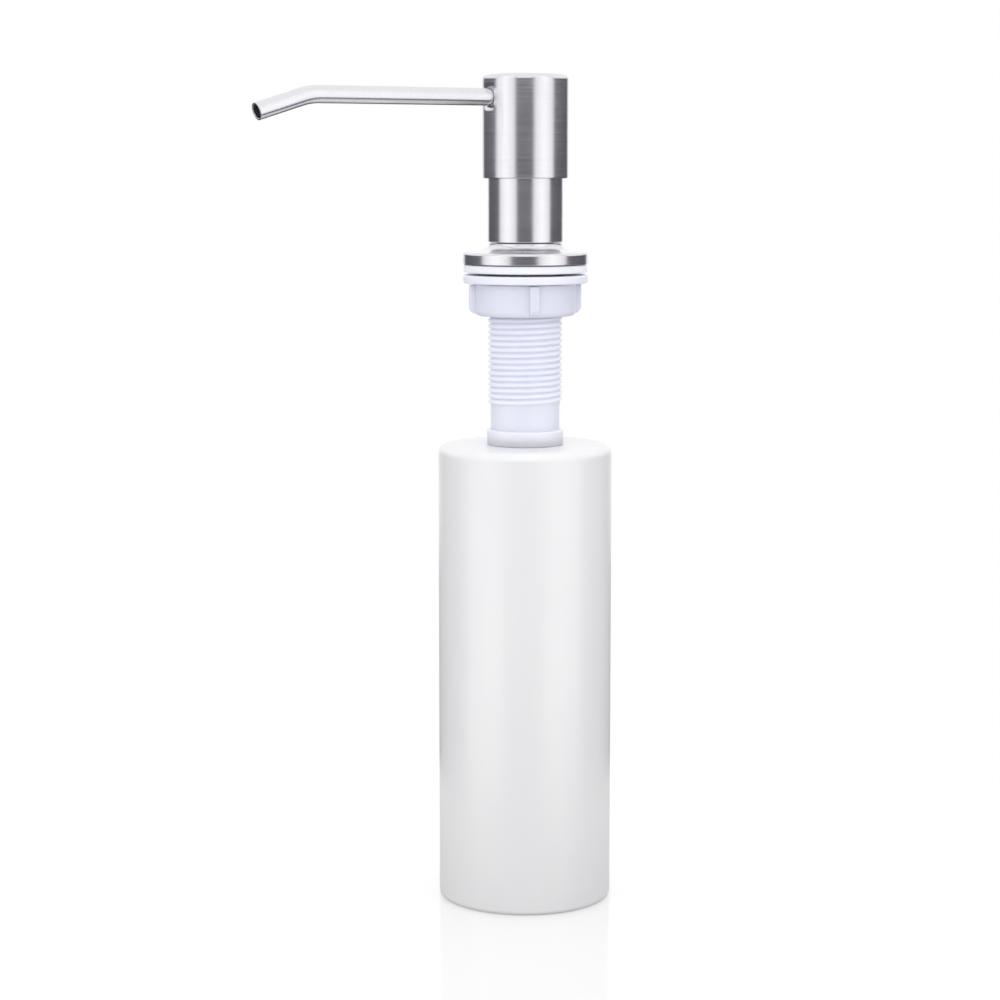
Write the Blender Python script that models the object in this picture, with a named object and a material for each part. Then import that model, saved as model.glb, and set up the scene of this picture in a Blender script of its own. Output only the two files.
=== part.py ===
# Deck-mounted soap pump dispenser: a bottle hanging on a threaded shank with its clamp nut, a pump
# that lifts out of the shank, and a press-down head with a swivelling spout.
# Metres, +Z up. The origin is the centre of the bottle's flat base. The axis of the pump is Z, and
# the spout points along -X.
import math
from collections import namedtuple

import bmesh
import bpy
from mathutils import Matrix

MM = 0.001

# Clearances and meshing
GAP = 0.3 * MM  # between two pieces that seat on each other
SLIDE_GAP = 0.3 * MM  # round a piece that slides or turns inside another
SEAL_GAP = 0.2 * MM  # between a sealing ring and the walls of its groove
HEAD_GAP = 0.6 * MM  # between the head's shell and the sleeve that it slides over
STOP_GAP = 0.5 * MM  # left under the head when it is fully pressed
BOSS_GAP = 2.3 * MM  # left under the core's boss when it is fully pressed
WELD = 0.001 * MM
HEAD_SEGMENTS = 36
ROUND_SEGMENTS = 28
SMALL_SEGMENTS = 24
THREADED_SEGMENTS = 24
RING_SEGMENTS = 20

# Motion
STROKE = 16.0 * MM
BALL_RISE = 1.2 * MM

# Bottle
BOTTLE_RADIUS = 30.0 * MM
BOTTLE_HEIGHT = 159.5 * MM
BOTTLE_WALL = 1.2 * MM
BASE_ROUND = 1.6 * MM
SHOULDER_ROUND = 3.0 * MM
NECK_WALL = 1.7 * MM
NECK_DEPTH = 9.0 * MM
BOTTLE_SEAL_THICKNESS = 1.3 * MM

# Stem and piston
STEM_RADIUS = 4.0 * MM
STEM_BORE = 2.0 * MM
SPIGOT_WALL = 0.9 * MM
SPIGOT_LENGTH = 3.1 * MM
PISTON_WALL = 1.2 * MM
PISTON_LENGTH = 8.3 * MM
PISTON_GROOVE_START = 0.9 * MM
PISTON_GROOVE_WIDTH = 1.6 * MM
PISTON_GROOVE_DEPTH = 1.0 * MM

# Return spring, under the piston
SPRING_PRESSED = 14.0 * MM
SPRING_WIRE = 0.45 * MM
SPRING_CLEAR = 0.75 * MM  # between the coils and the chamber's bore
SPRING_END_CLIMB = 1.1 * MM
SPRING_TURNS = 7
SPRING_STEPS = 10

# Pump chamber and dip tube
CHAMBER_WALL = 1.2 * MM
CHAMBER_LIP = 1.7 * MM
CHAMBER_LIP_THICKNESS = 1.8 * MM
CHAMBER_GASKET_THICKNESS = 0.8 * MM
VALVE_BALL = 2.4 * MM
BALL_CLEAR = 0.8 * MM
VALVE_HOLE = 1.8 * MM
VALVE_CONE = 1.5 * MM
VALVE_LIP = 0.2 * MM
VALVE_LIP_THICKNESS = 0.8 * MM
DIP_TUBE_RADIUS = 3.2 * MM
DIP_TUBE_WALL = 0.7 * MM
DIP_TUBE_SOCKET = 12.0 * MM
DIP_TUBE_CLEAR = 8.0 * MM
DIP_TUBE_SLOPE = 0.7
SOCKET_WALL = 1.5 * MM
VALVE_FLOOR = 3.0 * MM

# Pump seat, which carries the chamber and plugs into the shank
PLUG_WALL = 2.2 * MM
PLUG_BELOW_FLANGE = 3.4 * MM
SEAT_LEDGE = 4.1 * MM
GROOVE_DEPTH = 1.3 * MM
GROOVE_WIDTH = 1.8 * MM
GUIDE_LENGTH = 10.2 * MM
STEM_SEAL_THICKNESS = 1.4 * MM
STEM_SEAL_WALL = 1.7 * MM

# Shank, its flange cover and the parts that clamp it to a deck
THREAD_PITCH = 2.0 * MM
CREST_SHARE = 0.30  # of a pitch
ROOT_SHARE = 0.65  # of a pitch, from the start of the crest to the middle of the groove
THREAD_PLAY = 0.10  # of a pitch, on each flank
RUN_OUT = 1.2 * MM
RIM_SNAP = 0.1 * MM  # a corner this near a thread's end joins its rim
SHANK_LEDGE = 0.6 * MM
LOWER_WALL = 1.2 * MM
LOWER_THREAD_DEPTH = 0.8 * MM
DECK_WALL = 2.1 * MM
DECK_THREAD_DEPTH = 0.9 * MM
SHANK_LENGTH = 60.5 * MM
SHANK_COLLAR_HEIGHT = 3.3 * MM
SHANK_COLLAR_WALL = 2.0 * MM
COLLAR_SKIRT_WALL = 0.8 * MM  # round the bottle seal
SHANK_PLAIN = 8.6 * MM
SHANK_HEAD_THICKNESS = 2.3 * MM
THREAD_RELIEF = 3.9 * MM
FLANGE_RADIUS = 21.6 * MM
FLANGE_SKIRT = 1.55 * MM
FLANGE_TOP = 1.4 * MM
FLANGE_EDGE = 1.6 * MM
FLANGE_NECK_WALL = 2.8 * MM
FLANGE_NECK_HEIGHT = 3.1 * MM
FLARE_REACH = 6.5 * MM
FLARE_RISE = 2.7 * MM
GASKET_INSET = 0.4 * MM
GASKET_THICKNESS = 2.7 * MM
DECK_SPACE = 0.8 * MM
WASHER_INSET = 0.1 * MM
WASHER_THICKNESS = 2.8 * MM
NUT_HEIGHT = 10.9 * MM
NUT_WALL = 4.5 * MM
NUT_CORNER = 2.0 * MM
RIB_COUNT = 4
RIB_REACH = 1.8 * MM
RIB_SINK = 2.2 * MM
RIB_LIFT = 0.6 * MM
RIB_WIDTH = 3.3 * MM
RIB_ANGLE = 68.3

# Sleeve and head
SLEEVE_OVERHANG = 0.4 * MM
SLEEVE_WALL = 1.0 * MM
SLEEVE_LIP = 1.0 * MM
SLEEVE_REST = 5.7 * MM  # sleeve left showing under the fully pressed head
SLEEVE_OVERLAP = 6.0 * MM  # sleeve inside the head at rest
SHELL_WALL = 1.2 * MM
SHELL_CORNER = 1.6 * MM
SHELL_CROWN = 0.8 * MM  # rise of the top towards its middle
CORE_HEIGHT = 11.1 * MM
BOSS_WALL = 2.2 * MM
OUTLET_BALL = 2.6 * MM
OUTLET_CHANNEL = 1.8 * MM
STEM_BELOW_SPOUT = 3.1 * MM

# Spout
SPOUT_RADIUS = 3.0 * MM
SPOUT_WALL = 0.65 * MM
SPOUT_STOP_WALL = 2.7 * MM  # between the stem's socket and the end of the spout
SPOUT_RISE = 4.9 * MM  # spout's axis above the core's underside
SPOUT_STRAIGHT_END = 78.5 * MM
SPOUT_BEND = 24.0 * MM
SPOUT_DROP_ANGLE = 17.0
SPOUT_TIP = 16.5 * MM
SPOUT_BEND_STEPS = 5
SPOUT_GROOVE_INSET = 2.4 * MM
SPOUT_GROOVE_DEPTH = 0.8 * MM

# Radii that follow from the ones above
SPIGOT_RADIUS = STEM_BORE + SPIGOT_WALL
STEM_SOCKET = STEM_RADIUS + SLIDE_GAP
PISTON_RADIUS = STEM_RADIUS + GAP + PISTON_WALL
CHAMBER_BORE = PISTON_RADIUS + SLIDE_GAP
CHAMBER_RADIUS = CHAMBER_BORE + CHAMBER_WALL
VALVE_BORE = VALVE_BALL + BALL_CLEAR
OUTLET_BORE = OUTLET_BALL + BALL_CLEAR
SEAT_BORE = CHAMBER_RADIUS + GAP
PLUG_RADIUS = SEAT_BORE + PLUG_WALL
PLUG_BORE = PLUG_RADIUS + GAP
SHANK_BORE = PLUG_BORE - SHANK_LEDGE
CHAMBER_LIP_RADIUS = CHAMBER_RADIUS + CHAMBER_LIP
SEAT_CUP = CHAMBER_LIP_RADIUS + GAP
SHANK_ROOT = PLUG_BORE + DECK_WALL
SHANK_CREST = SHANK_ROOT + DECK_THREAD_DEPTH
LOWER_ROOT = SHANK_BORE + LOWER_WALL
LOWER_CREST = LOWER_ROOT + LOWER_THREAD_DEPTH
COLLAR_RADIUS = LOWER_CREST + SHANK_COLLAR_WALL
COLLAR_SKIRT = COLLAR_RADIUS - COLLAR_SKIRT_WALL
BOTTLE_SEAL_RADIUS = COLLAR_SKIRT - GAP
NECK_RADIUS = LOWER_CREST + GAP + NECK_WALL
SHANK_HOLE = SHANK_CREST + SLIDE_GAP  # through the gasket and the washer
NUT_RADIUS = SHANK_CREST + GAP + NUT_WALL
FLANGE_NECK_RADIUS = PLUG_BORE + FLANGE_NECK_WALL
SLEEVE_RADIUS = FLANGE_NECK_RADIUS + SLEEVE_OVERHANG
SLEEVE_BORE = SLEEVE_RADIUS - SLEEVE_WALL
SEAT_RADIUS = SLEEVE_BORE - GAP
SHELL_BORE = SLEEVE_RADIUS + HEAD_GAP
SHELL_RADIUS = SHELL_BORE + SHELL_WALL
CORE_RADIUS = SHELL_BORE - GAP
GASKET_RADIUS = FLANGE_RADIUS - GASKET_INSET
WASHER_RADIUS = FLANGE_RADIUS - WASHER_INSET
SPOUT_HOLE = SPOUT_RADIUS + GAP
SPOUT_START = STEM_SOCKET + SPOUT_STOP_WALL

# Heights, stacked upwards from the bottle's base
SEAL_Z = BOTTLE_HEIGHT + GAP
COLLAR_Z = SEAL_Z + BOTTLE_SEAL_THICKNESS + GAP
PLAIN_Z = COLLAR_Z + SHANK_COLLAR_HEIGHT
THREAD_Z = PLAIN_Z + SHANK_PLAIN
SHANK_HEAD_Z = COLLAR_Z + SHANK_LENGTH
THREAD_TOP_Z = SHANK_HEAD_Z - THREAD_RELIEF
SHANK_BOTTOM_Z = BOTTLE_HEIGHT - NECK_DEPTH + GAP
SHANK_TOP_Z = SHANK_HEAD_Z + SHANK_HEAD_THICKNESS
GASKET_Z = SHANK_HEAD_Z - GAP - GASKET_THICKNESS
WASHER_Z = GASKET_Z - DECK_SPACE - WASHER_THICKNESS
NUT_TOP_Z = WASHER_Z - GAP
NUT_Z = NUT_TOP_Z - NUT_HEIGHT
FLANGE_TOP_Z = SHANK_TOP_Z + GAP + FLANGE_TOP
NECK_TOP_Z = FLANGE_TOP_Z + FLANGE_NECK_HEIGHT
SLEEVE_Z = NECK_TOP_Z + GAP
SLEEVE_TOP_Z = SLEEVE_Z + SLEEVE_REST + STROKE + SLEEVE_OVERLAP
SEAT_BODY_Z = SLEEVE_Z + SLEEVE_LIP + GAP
PLUG_Z = SHANK_HEAD_Z - PLUG_BELOW_FLANGE
LEDGE_Z = SEAT_BODY_Z + SEAT_LEDGE
CHAMBER_LIP_Z = LEDGE_Z + CHAMBER_GASKET_THICKNESS + 2 * GAP
CHAMBER_TOP_Z = CHAMBER_LIP_Z + CHAMBER_LIP_THICKNESS
GUIDE_Z = CHAMBER_TOP_Z + GAP
GUIDE_TOP_Z = GUIDE_Z + GUIDE_LENGTH
SEAT_TOP_Z = GUIDE_TOP_Z + GAP
PISTON_TOP_Z = GUIDE_Z - GAP
PISTON_Z = PISTON_TOP_Z - PISTON_LENGTH
SPRING_TOP_Z = PISTON_Z - GAP
SPRING_Z = SPRING_TOP_Z - STROKE - SPRING_PRESSED
CHAMBER_FLOOR_Z = SPRING_Z - GAP
VALVE_LIP_Z = CHAMBER_FLOOR_Z - VALVE_LIP_THICKNESS
INLET_BALL_Z = VALVE_LIP_Z - 2 * GAP - BALL_RISE - VALVE_BALL
CONE_RUN = VALVE_BORE - VALVE_HOLE
CONE_REACH = (VALVE_BALL + SEAL_GAP) * math.hypot(CONE_RUN, VALVE_CONE)
VALVE_HOLE_Z = INLET_BALL_Z - (CONE_REACH - VALVE_HOLE * VALVE_CONE) / CONE_RUN
SOCKET_TOP_Z = VALVE_HOLE_Z - VALVE_FLOOR
SHELL_Z = SLEEVE_TOP_Z - SLEEVE_OVERLAP
CORE_Z = SLEEVE_TOP_Z + STROKE + STOP_GAP
CORE_TOP_Z = CORE_Z + CORE_HEIGHT
SHELL_TOP_Z = CORE_TOP_Z + GAP + SHELL_WALL + SHELL_CROWN
SPOUT_Z = CORE_Z + SPOUT_RISE
BOSS_Z = SEAT_TOP_Z + STROKE + BOSS_GAP
STEM_TOP_Z = SPOUT_Z - STEM_BELOW_SPOUT
OUTLET_FLOOR_Z = STEM_TOP_Z + GAP
OUTLET_BALL_Z = STEM_TOP_Z + math.sqrt(OUTLET_BALL ** 2 - STEM_BORE ** 2) + SEAL_GAP
OUTLET_CEILING_Z = OUTLET_BALL_Z + OUTLET_BALL + BALL_RISE + GAP

Thread = namedtuple("Thread", "crest root pitch start")
DECK_THREAD = Thread(SHANK_CREST, SHANK_ROOT, THREAD_PITCH, THREAD_Z)
BOTTLE_THREAD = Thread(LOWER_CREST, LOWER_ROOT, THREAD_PITCH, SHANK_BOTTOM_Z)

# Linear colour, roughness, metallic
MILKY_WHITE = ((0.78, 0.78, 0.77), 0.38, 0.0)
COOL_WHITE = ((0.76, 0.79, 0.86), 0.42, 0.0)
PUMP_WHITE = ((0.82, 0.82, 0.80), 0.4, 0.0)
CLEAR_TUBE = ((0.80, 0.84, 0.86), 0.25, 0.0)
SEAL_BLACK = ((0.03, 0.03, 0.03), 0.6, 0.0)
GASKET_WHITE = ((0.80, 0.81, 0.83), 0.6, 0.0)
BRUSHED_STEEL = ((0.60, 0.59, 0.57), 0.25, 1.0)
BRIGHT_STEEL = ((0.72, 0.72, 0.72), 0.12, 1.0)


def clear_scene():
    for existing in list(bpy.data.objects):
        bpy.data.objects.remove(existing, do_unlink=True)


def joint_frame(name, parent=None):
    # An empty on the Z axis, which every joint of this object shares.
    frame = bpy.data.objects.new(name, None)
    frame.empty_display_size = 10 * MM
    frame.parent = parent
    bpy.context.collection.objects.link(frame)
    return frame


def principled(name, look):
    colour, roughness, metallic = look
    material = bpy.data.materials.new(name)
    material.use_nodes = True
    shader = material.node_tree.nodes["Principled BSDF"]
    shader.inputs["Base Color"].default_value = (*colour, 1.0)
    shader.inputs["Roughness"].default_value = roughness
    shader.inputs["Metallic"].default_value = metallic
    return material


def add_piece(name, bm, look, parent, placement=None):
    # Closes a bmesh into a named, shaded object with its own material.
    bmesh.ops.remove_doubles(bm, verts=bm.verts, dist=WELD)
    bmesh.ops.recalc_face_normals(bm, faces=bm.faces)
    mesh = bpy.data.meshes.new(name)
    bm.to_mesh(mesh)
    bm.free()
    mesh.shade_smooth()
    mesh.set_sharp_from_angle(angle=math.radians(35))
    piece = bpy.data.objects.new(name, mesh)
    piece.parent = parent
    if placement is not None:
        piece.matrix_basis = placement
    if look is not None:
        mesh.materials.append(principled(name, look))
    bpy.context.collection.objects.link(piece)
    return piece


def shape_with(piece, tool, operation="DIFFERENCE"):
    # Cuts the piece with a hidden tool, or joins the tool to it.
    tool.hide_render = True
    tool.display_type = "WIRE"
    boolean = piece.modifiers.new(tool.name, "BOOLEAN")
    boolean.operation = operation
    boolean.solver = "EXACT"
    boolean.object = tool


def arc(centre, radius, start, end, steps=3):
    # (radius, height) points round a corner; angles are in degrees from the outward direction.
    angles = [math.radians(start + (end - start) * i / steps) for i in range(steps + 1)]
    return [(centre[0] + radius * math.cos(a), centre[1] + radius * math.sin(a)) for a in angles]


def spin_outline(bm, outline, segments, threaded=()):
    # Spins a closed (radius, height) outline about Z, all but the edges that carry a thread.
    points = [bm.verts.new((radius, 0.0, height)) for radius, height in outline]
    edges = []
    for i, point in enumerate(points):
        after = (i + 1) % len(points)
        along_axis = outline[i][0] == 0.0 and outline[after][0] == 0.0
        if i not in threaded and not along_axis:
            edges.append(bm.edges.new((point, points[after])))
    bmesh.ops.spin(bm, geom=points + edges, axis=(0, 0, 1), cent=(0, 0, 0), angle=math.tau,
                   steps=segments, use_merge=True)


def thread_rows(thread, internal):
    # (share of a pitch, radius) of the rows of corners that climb along the helix. The internal
    # thread's ridge sits in the external thread's groove, clear of it on every side.
    if internal:
        outer = thread.crest + GAP
        return [(-THREAD_PLAY, outer), (CREST_SHARE + THREAD_PLAY, outer), (ROOT_SHARE, thread.root + GAP)]
    return [(0.0, thread.crest), (CREST_SHARE, thread.crest), (ROOT_SHARE, thread.root)]


def thread_wall(bm, thread, low, high, internal):
    # A right-hand helical wall between two plain rims, where the thread runs out.
    rows = thread_rows(thread, internal)
    rim = thread.crest + GAP if internal else thread.root
    corners = {}

    def corner(column, row):
        turns, column = divmod(column, THREADED_SEGMENTS)
        row += turns * len(rows)
        share, radius = rows[row % len(rows)]
        climb = row // len(rows) + share + column / THREADED_SEGMENTS
        height = thread.start + thread.pitch * climb
        key = (column, row)
        if height < low + RIM_SNAP:
            key, height = (column, "low"), low
        if height > high - RIM_SNAP:
            key, height = (column, "high"), high
        if key not in corners:
            fade = min(1.0, (height - low) / RUN_OUT, (high - height) / RUN_OUT)
            reach = rim + (radius - rim) * fade
            angle = math.tau * column / THREADED_SEGMENTS
            corners[key] = bm.verts.new((reach * math.cos(angle), reach * math.sin(angle), height))
        return corners[key]

    first = math.floor((low - thread.start) / thread.pitch) - 2
    last = math.ceil((high - thread.start) / thread.pitch) + 1
    for column in range(THREADED_SEGMENTS):
        for row in range(first * len(rows), last * len(rows)):
            loop = [corner(column, row), corner(column + 1, row),
                    corner(column + 1, row + 1), corner(column, row + 1)]
            loop = list(dict.fromkeys(loop))
            if len(loop) > 2:
                bm.faces.new(loop)


def turned(name, outline, look, parent, segments=ROUND_SEGMENTS, placement=None):
    bm = bmesh.new()
    spin_outline(bm, outline, segments)
    return add_piece(name, bm, look, parent, placement)


def washer_ring(name, inner, outer, low, thickness, look, parent, segments=ROUND_SEGMENTS):
    high = low + thickness
    outline = [(inner, low), (outer, low), (outer, high), (inner, high)]
    return turned(name, outline, look, parent, segments)


def o_ring(name, inner, outer, middle, look, parent, placement=None):
    # A round-section ring that fills a groove from the inner to the outer radius, with its gaps.
    section = (outer - inner) / 2 - SEAL_GAP
    outline = arc(((inner + outer) / 2, middle), section, 0, 300, 5)
    return turned(name, outline, look, parent, RING_SEGMENTS, placement)


def ball(name, radius, height, look, parent):
    bm = bmesh.new()
    bmesh.ops.create_uvsphere(bm, u_segments=14, v_segments=8, radius=radius,
                              matrix=Matrix.Translation((0, 0, height)))
    return add_piece(name, bm, look, parent)


def add_bottle(parent):
    bm = bmesh.new()
    mouth = LOWER_CREST + GAP
    neck_bottom = BOTTLE_HEIGHT - NECK_DEPTH
    inner_base = max(BASE_ROUND - BOTTLE_WALL, BOTTLE_WALL)
    inner_shoulder = max(SHOULDER_ROUND - BOTTLE_WALL, BOTTLE_WALL)
    inside = BOTTLE_RADIUS - BOTTLE_WALL
    under_shoulder = BOTTLE_HEIGHT - BOTTLE_WALL
    outline = [(0.0, 0.0)]
    outline += arc((BOTTLE_RADIUS - BASE_ROUND, BASE_ROUND), BASE_ROUND, -90, 0)
    outline += arc((BOTTLE_RADIUS - SHOULDER_ROUND, BOTTLE_HEIGHT - SHOULDER_ROUND), SHOULDER_ROUND, 0, 90)
    outline += [(mouth, BOTTLE_HEIGHT)]
    threaded = len(outline) - 1
    outline += [(mouth, neck_bottom), (NECK_RADIUS, neck_bottom), (NECK_RADIUS, under_shoulder)]
    outline += arc((inside - inner_shoulder, under_shoulder - inner_shoulder), inner_shoulder, 90, 0, 2)
    outline += arc((inside - inner_base, BOTTLE_WALL + inner_base), inner_base, 0, -90, 2)
    outline += [(0.0, BOTTLE_WALL)]
    spin_outline(bm, outline, THREADED_SEGMENTS, (threaded,))
    thread_wall(bm, BOTTLE_THREAD, neck_bottom, BOTTLE_HEIGHT, internal=True)
    return add_piece("bottle", bm, MILKY_WHITE, parent)


def add_threaded_shank(parent):
    bm = bmesh.new()
    outline = [(SHANK_BORE, SHANK_BOTTOM_Z), (LOWER_ROOT, SHANK_BOTTOM_Z), (LOWER_ROOT, COLLAR_Z),
               (COLLAR_SKIRT, COLLAR_Z), (COLLAR_SKIRT, SEAL_Z), (COLLAR_RADIUS, SEAL_Z),
               (COLLAR_RADIUS, PLAIN_Z), (SHANK_ROOT, PLAIN_Z),
               (SHANK_ROOT, THREAD_Z), (SHANK_ROOT, THREAD_TOP_Z), (SHANK_ROOT, SHANK_HEAD_Z)]
    head_radius = FLANGE_RADIUS - FLANGE_SKIRT - GAP
    ledge_z = PLUG_Z - GAP
    outline += [(head_radius, SHANK_HEAD_Z), (head_radius, SHANK_TOP_Z), (PLUG_BORE, SHANK_TOP_Z),
                (PLUG_BORE, ledge_z), (SHANK_BORE, ledge_z)]
    spin_outline(bm, outline, THREADED_SEGMENTS, (1, 8))
    thread_wall(bm, BOTTLE_THREAD, SHANK_BOTTOM_Z, COLLAR_Z, internal=False)
    thread_wall(bm, DECK_THREAD, THREAD_Z, THREAD_TOP_Z, internal=False)
    return add_piece("threaded_shank", bm, COOL_WHITE, parent)


def add_flange_cover(parent):
    ceiling = SHANK_TOP_Z + GAP
    cavity = FLANGE_RADIUS - FLANGE_SKIRT
    flare = arc((0.0, 0.0), 1.0, 270, 180, 4)
    outline = [(cavity, SHANK_HEAD_Z), (FLANGE_RADIUS, SHANK_HEAD_Z)]
    outline += arc((FLANGE_RADIUS - FLANGE_EDGE, FLANGE_TOP_Z - FLANGE_EDGE), FLANGE_EDGE, 0, 90)
    outline += [(FLANGE_NECK_RADIUS + FLARE_REACH * (1 + across), FLANGE_TOP_Z + FLARE_RISE * (1 + up))
                for across, up in flare]
    outline += [(FLANGE_NECK_RADIUS, NECK_TOP_Z), (PLUG_BORE, NECK_TOP_Z), (PLUG_BORE, ceiling)]
    outline += [(cavity, ceiling)]
    return turned("flange_cover", outline, BRUSHED_STEEL, parent)


def add_mounting_nut(parent):
    # A cup-shaped nut: a threaded tube under a solid top, with upright grip ribs round it.
    bm = bmesh.new()
    mouth = SHANK_CREST + GAP
    outline = [(mouth, NUT_TOP_Z), (mouth, NUT_Z)]
    outline += arc((NUT_RADIUS - NUT_CORNER, NUT_Z + NUT_CORNER), NUT_CORNER, -90, 0)
    outline += [(NUT_RADIUS, NUT_TOP_Z)]
    spin_outline(bm, outline, THREADED_SEGMENTS, (0,))
    thread_wall(bm, DECK_THREAD, NUT_Z, NUT_TOP_Z, internal=True)
    nut = add_piece("mounting_nut", bm, COOL_WHITE, parent)

    ribs = bmesh.new()
    root, tip = NUT_RADIUS - RIB_SINK, NUT_RADIUS + RIB_REACH
    low, high = NUT_Z + RIB_LIFT, NUT_TOP_Z - GAP
    size = Matrix.Diagonal((tip - root, RIB_WIDTH, high - low, 1.0))
    place = Matrix.Translation(((tip + root) / 2, 0, (low + high) / 2))
    for i in range(RIB_COUNT):
        turn = Matrix.Rotation(math.radians(RIB_ANGLE) + math.tau * i / RIB_COUNT, 4, "Z")
        bmesh.ops.create_cube(ribs, size=1.0, matrix=turn @ place @ size)
    shape_with(nut, add_piece("nut_rib_blocks", ribs, None, parent), "UNION")
    return nut


def add_collar_sleeve(parent):
    lip = PLUG_RADIUS + 2 * GAP
    outline = [(lip, SLEEVE_Z), (SLEEVE_RADIUS, SLEEVE_Z), (SLEEVE_RADIUS, SLEEVE_TOP_Z),
               (SLEEVE_BORE, SLEEVE_TOP_Z), (SLEEVE_BORE, SLEEVE_Z + SLEEVE_LIP),
               (lip, SLEEVE_Z + SLEEVE_LIP)]
    return turned("collar_sleeve", outline, BRUSHED_STEEL, parent)


def add_pump_seat(parent):
    # The plug reaches down into the shank and carries the ring that seals the pump in it.
    groove_low = PLUG_Z + GROOVE_WIDTH
    groove_high = groove_low + GROOVE_WIDTH
    groove = PLUG_RADIUS - GROOVE_DEPTH
    outline = [(SEAT_BORE, PLUG_Z), (PLUG_RADIUS, PLUG_Z), (PLUG_RADIUS, groove_low),
               (groove, groove_low), (groove, groove_high), (PLUG_RADIUS, groove_high),
               (PLUG_RADIUS, SEAT_BODY_Z), (SEAT_RADIUS, SEAT_BODY_Z), (SEAT_RADIUS, SEAT_TOP_Z),
               (SEAT_CUP, SEAT_TOP_Z), (SEAT_CUP, LEDGE_Z), (SEAT_BORE, LEDGE_Z)]
    seat = turned("pump_seat", outline, PUMP_WHITE, parent)
    o_ring("seat_o_ring", groove, PLUG_BORE, (groove_low + groove_high) / 2, SEAL_BLACK, parent)
    return seat


def add_pump_chamber(parent):
    # Piston bore above, ball valve in the floor, and a socket below for the dip tube.
    socket = DIP_TUBE_RADIUS + GAP
    lip = VALVE_BALL - VALVE_LIP
    cone_z = VALVE_HOLE_Z + VALVE_CONE
    socket_z = SOCKET_TOP_Z - DIP_TUBE_SOCKET
    outline = [(socket, socket_z), (socket + SOCKET_WALL, socket_z),
               (socket + SOCKET_WALL, SOCKET_TOP_Z), (CHAMBER_RADIUS, cone_z),
               (CHAMBER_RADIUS, CHAMBER_LIP_Z), (CHAMBER_LIP_RADIUS, CHAMBER_LIP_Z),
               (CHAMBER_LIP_RADIUS, CHAMBER_TOP_Z), (CHAMBER_BORE, CHAMBER_TOP_Z),
               (CHAMBER_BORE, CHAMBER_FLOOR_Z), (lip, CHAMBER_FLOOR_Z), (lip, VALVE_LIP_Z),
               (VALVE_BORE, VALVE_LIP_Z - GAP), (VALVE_BORE, cone_z), (VALVE_HOLE, VALVE_HOLE_Z),
               (VALVE_HOLE, SOCKET_TOP_Z), (socket, SOCKET_TOP_Z)]
    return turned("pump_chamber", outline, PUMP_WHITE, parent, SMALL_SEGMENTS)


def add_dip_tube(parent):
    # A straight tube with a slanted end near the bottle's floor.
    bm = bmesh.new()
    bore = DIP_TUBE_RADIUS - DIP_TUBE_WALL
    top = SOCKET_TOP_Z - GAP
    outline = [(bore, DIP_TUBE_CLEAR), (DIP_TUBE_RADIUS, DIP_TUBE_CLEAR),
               (DIP_TUBE_RADIUS, top), (bore, top)]
    spin_outline(bm, outline, RING_SEGMENTS)
    for corner in bm.verts:
        if corner.co.z < top - GAP:
            corner.co.z += (DIP_TUBE_RADIUS - corner.co.x) * DIP_TUBE_SLOPE
    return add_piece("dip_tube", bm, CLEAR_TUBE, parent)


def add_stem_guide(parent):
    # The guide closes the chamber, stops the piston's rise and holds the stem's seal in its top.
    recess = STEM_SOCKET + STEM_SEAL_WALL + GAP
    recess_z = GUIDE_TOP_Z - STEM_SEAL_THICKNESS - 2 * GAP
    outline = [(STEM_SOCKET, GUIDE_Z), (CHAMBER_LIP_RADIUS, GUIDE_Z),
               (CHAMBER_LIP_RADIUS, GUIDE_TOP_Z), (recess, GUIDE_TOP_Z), (recess, recess_z),
               (STEM_SOCKET, recess_z)]
    turned("stem_guide", outline, PUMP_WHITE, parent)
    washer_ring("stem_seal", STEM_SOCKET, STEM_SOCKET + STEM_SEAL_WALL, recess_z + GAP,
                STEM_SEAL_THICKNESS, SEAL_BLACK, parent, SMALL_SEGMENTS)


def add_piston(parent):
    # The piston is pushed onto the spigot at the stem's lower end.
    stem_z = PISTON_Z + GAP
    spigot_top = stem_z + SPIGOT_LENGTH
    stem = [(STEM_BORE, stem_z), (SPIGOT_RADIUS, stem_z), (SPIGOT_RADIUS, spigot_top),
            (STEM_RADIUS, spigot_top), (STEM_RADIUS, STEM_TOP_Z), (STEM_BORE, STEM_TOP_Z)]
    turned("piston_stem", stem, PUMP_WHITE, parent, SMALL_SEGMENTS)

    groove_low = PISTON_Z + PISTON_GROOVE_START
    groove_high = groove_low + PISTON_GROOVE_WIDTH
    groove = PISTON_RADIUS - PISTON_GROOVE_DEPTH
    step_z = spigot_top - GAP
    piston = [(SPIGOT_RADIUS + GAP, PISTON_Z), (PISTON_RADIUS, PISTON_Z), (PISTON_RADIUS, groove_low),
              (groove, groove_low), (groove, groove_high), (PISTON_RADIUS, groove_high),
              (PISTON_RADIUS, PISTON_TOP_Z), (STEM_RADIUS + GAP, PISTON_TOP_Z),
              (STEM_RADIUS + GAP, step_z), (SPIGOT_RADIUS + GAP, step_z)]
    turned("piston", piston, PUMP_WHITE, parent, SMALL_SEGMENTS)
    washer_ring("piston_seal", groove + SEAL_GAP, CHAMBER_BORE - SEAL_GAP, groove_low + SEAL_GAP,
                PISTON_GROOVE_WIDTH - 2 * SEAL_GAP, SEAL_BLACK, parent, SMALL_SEGMENTS)


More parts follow.
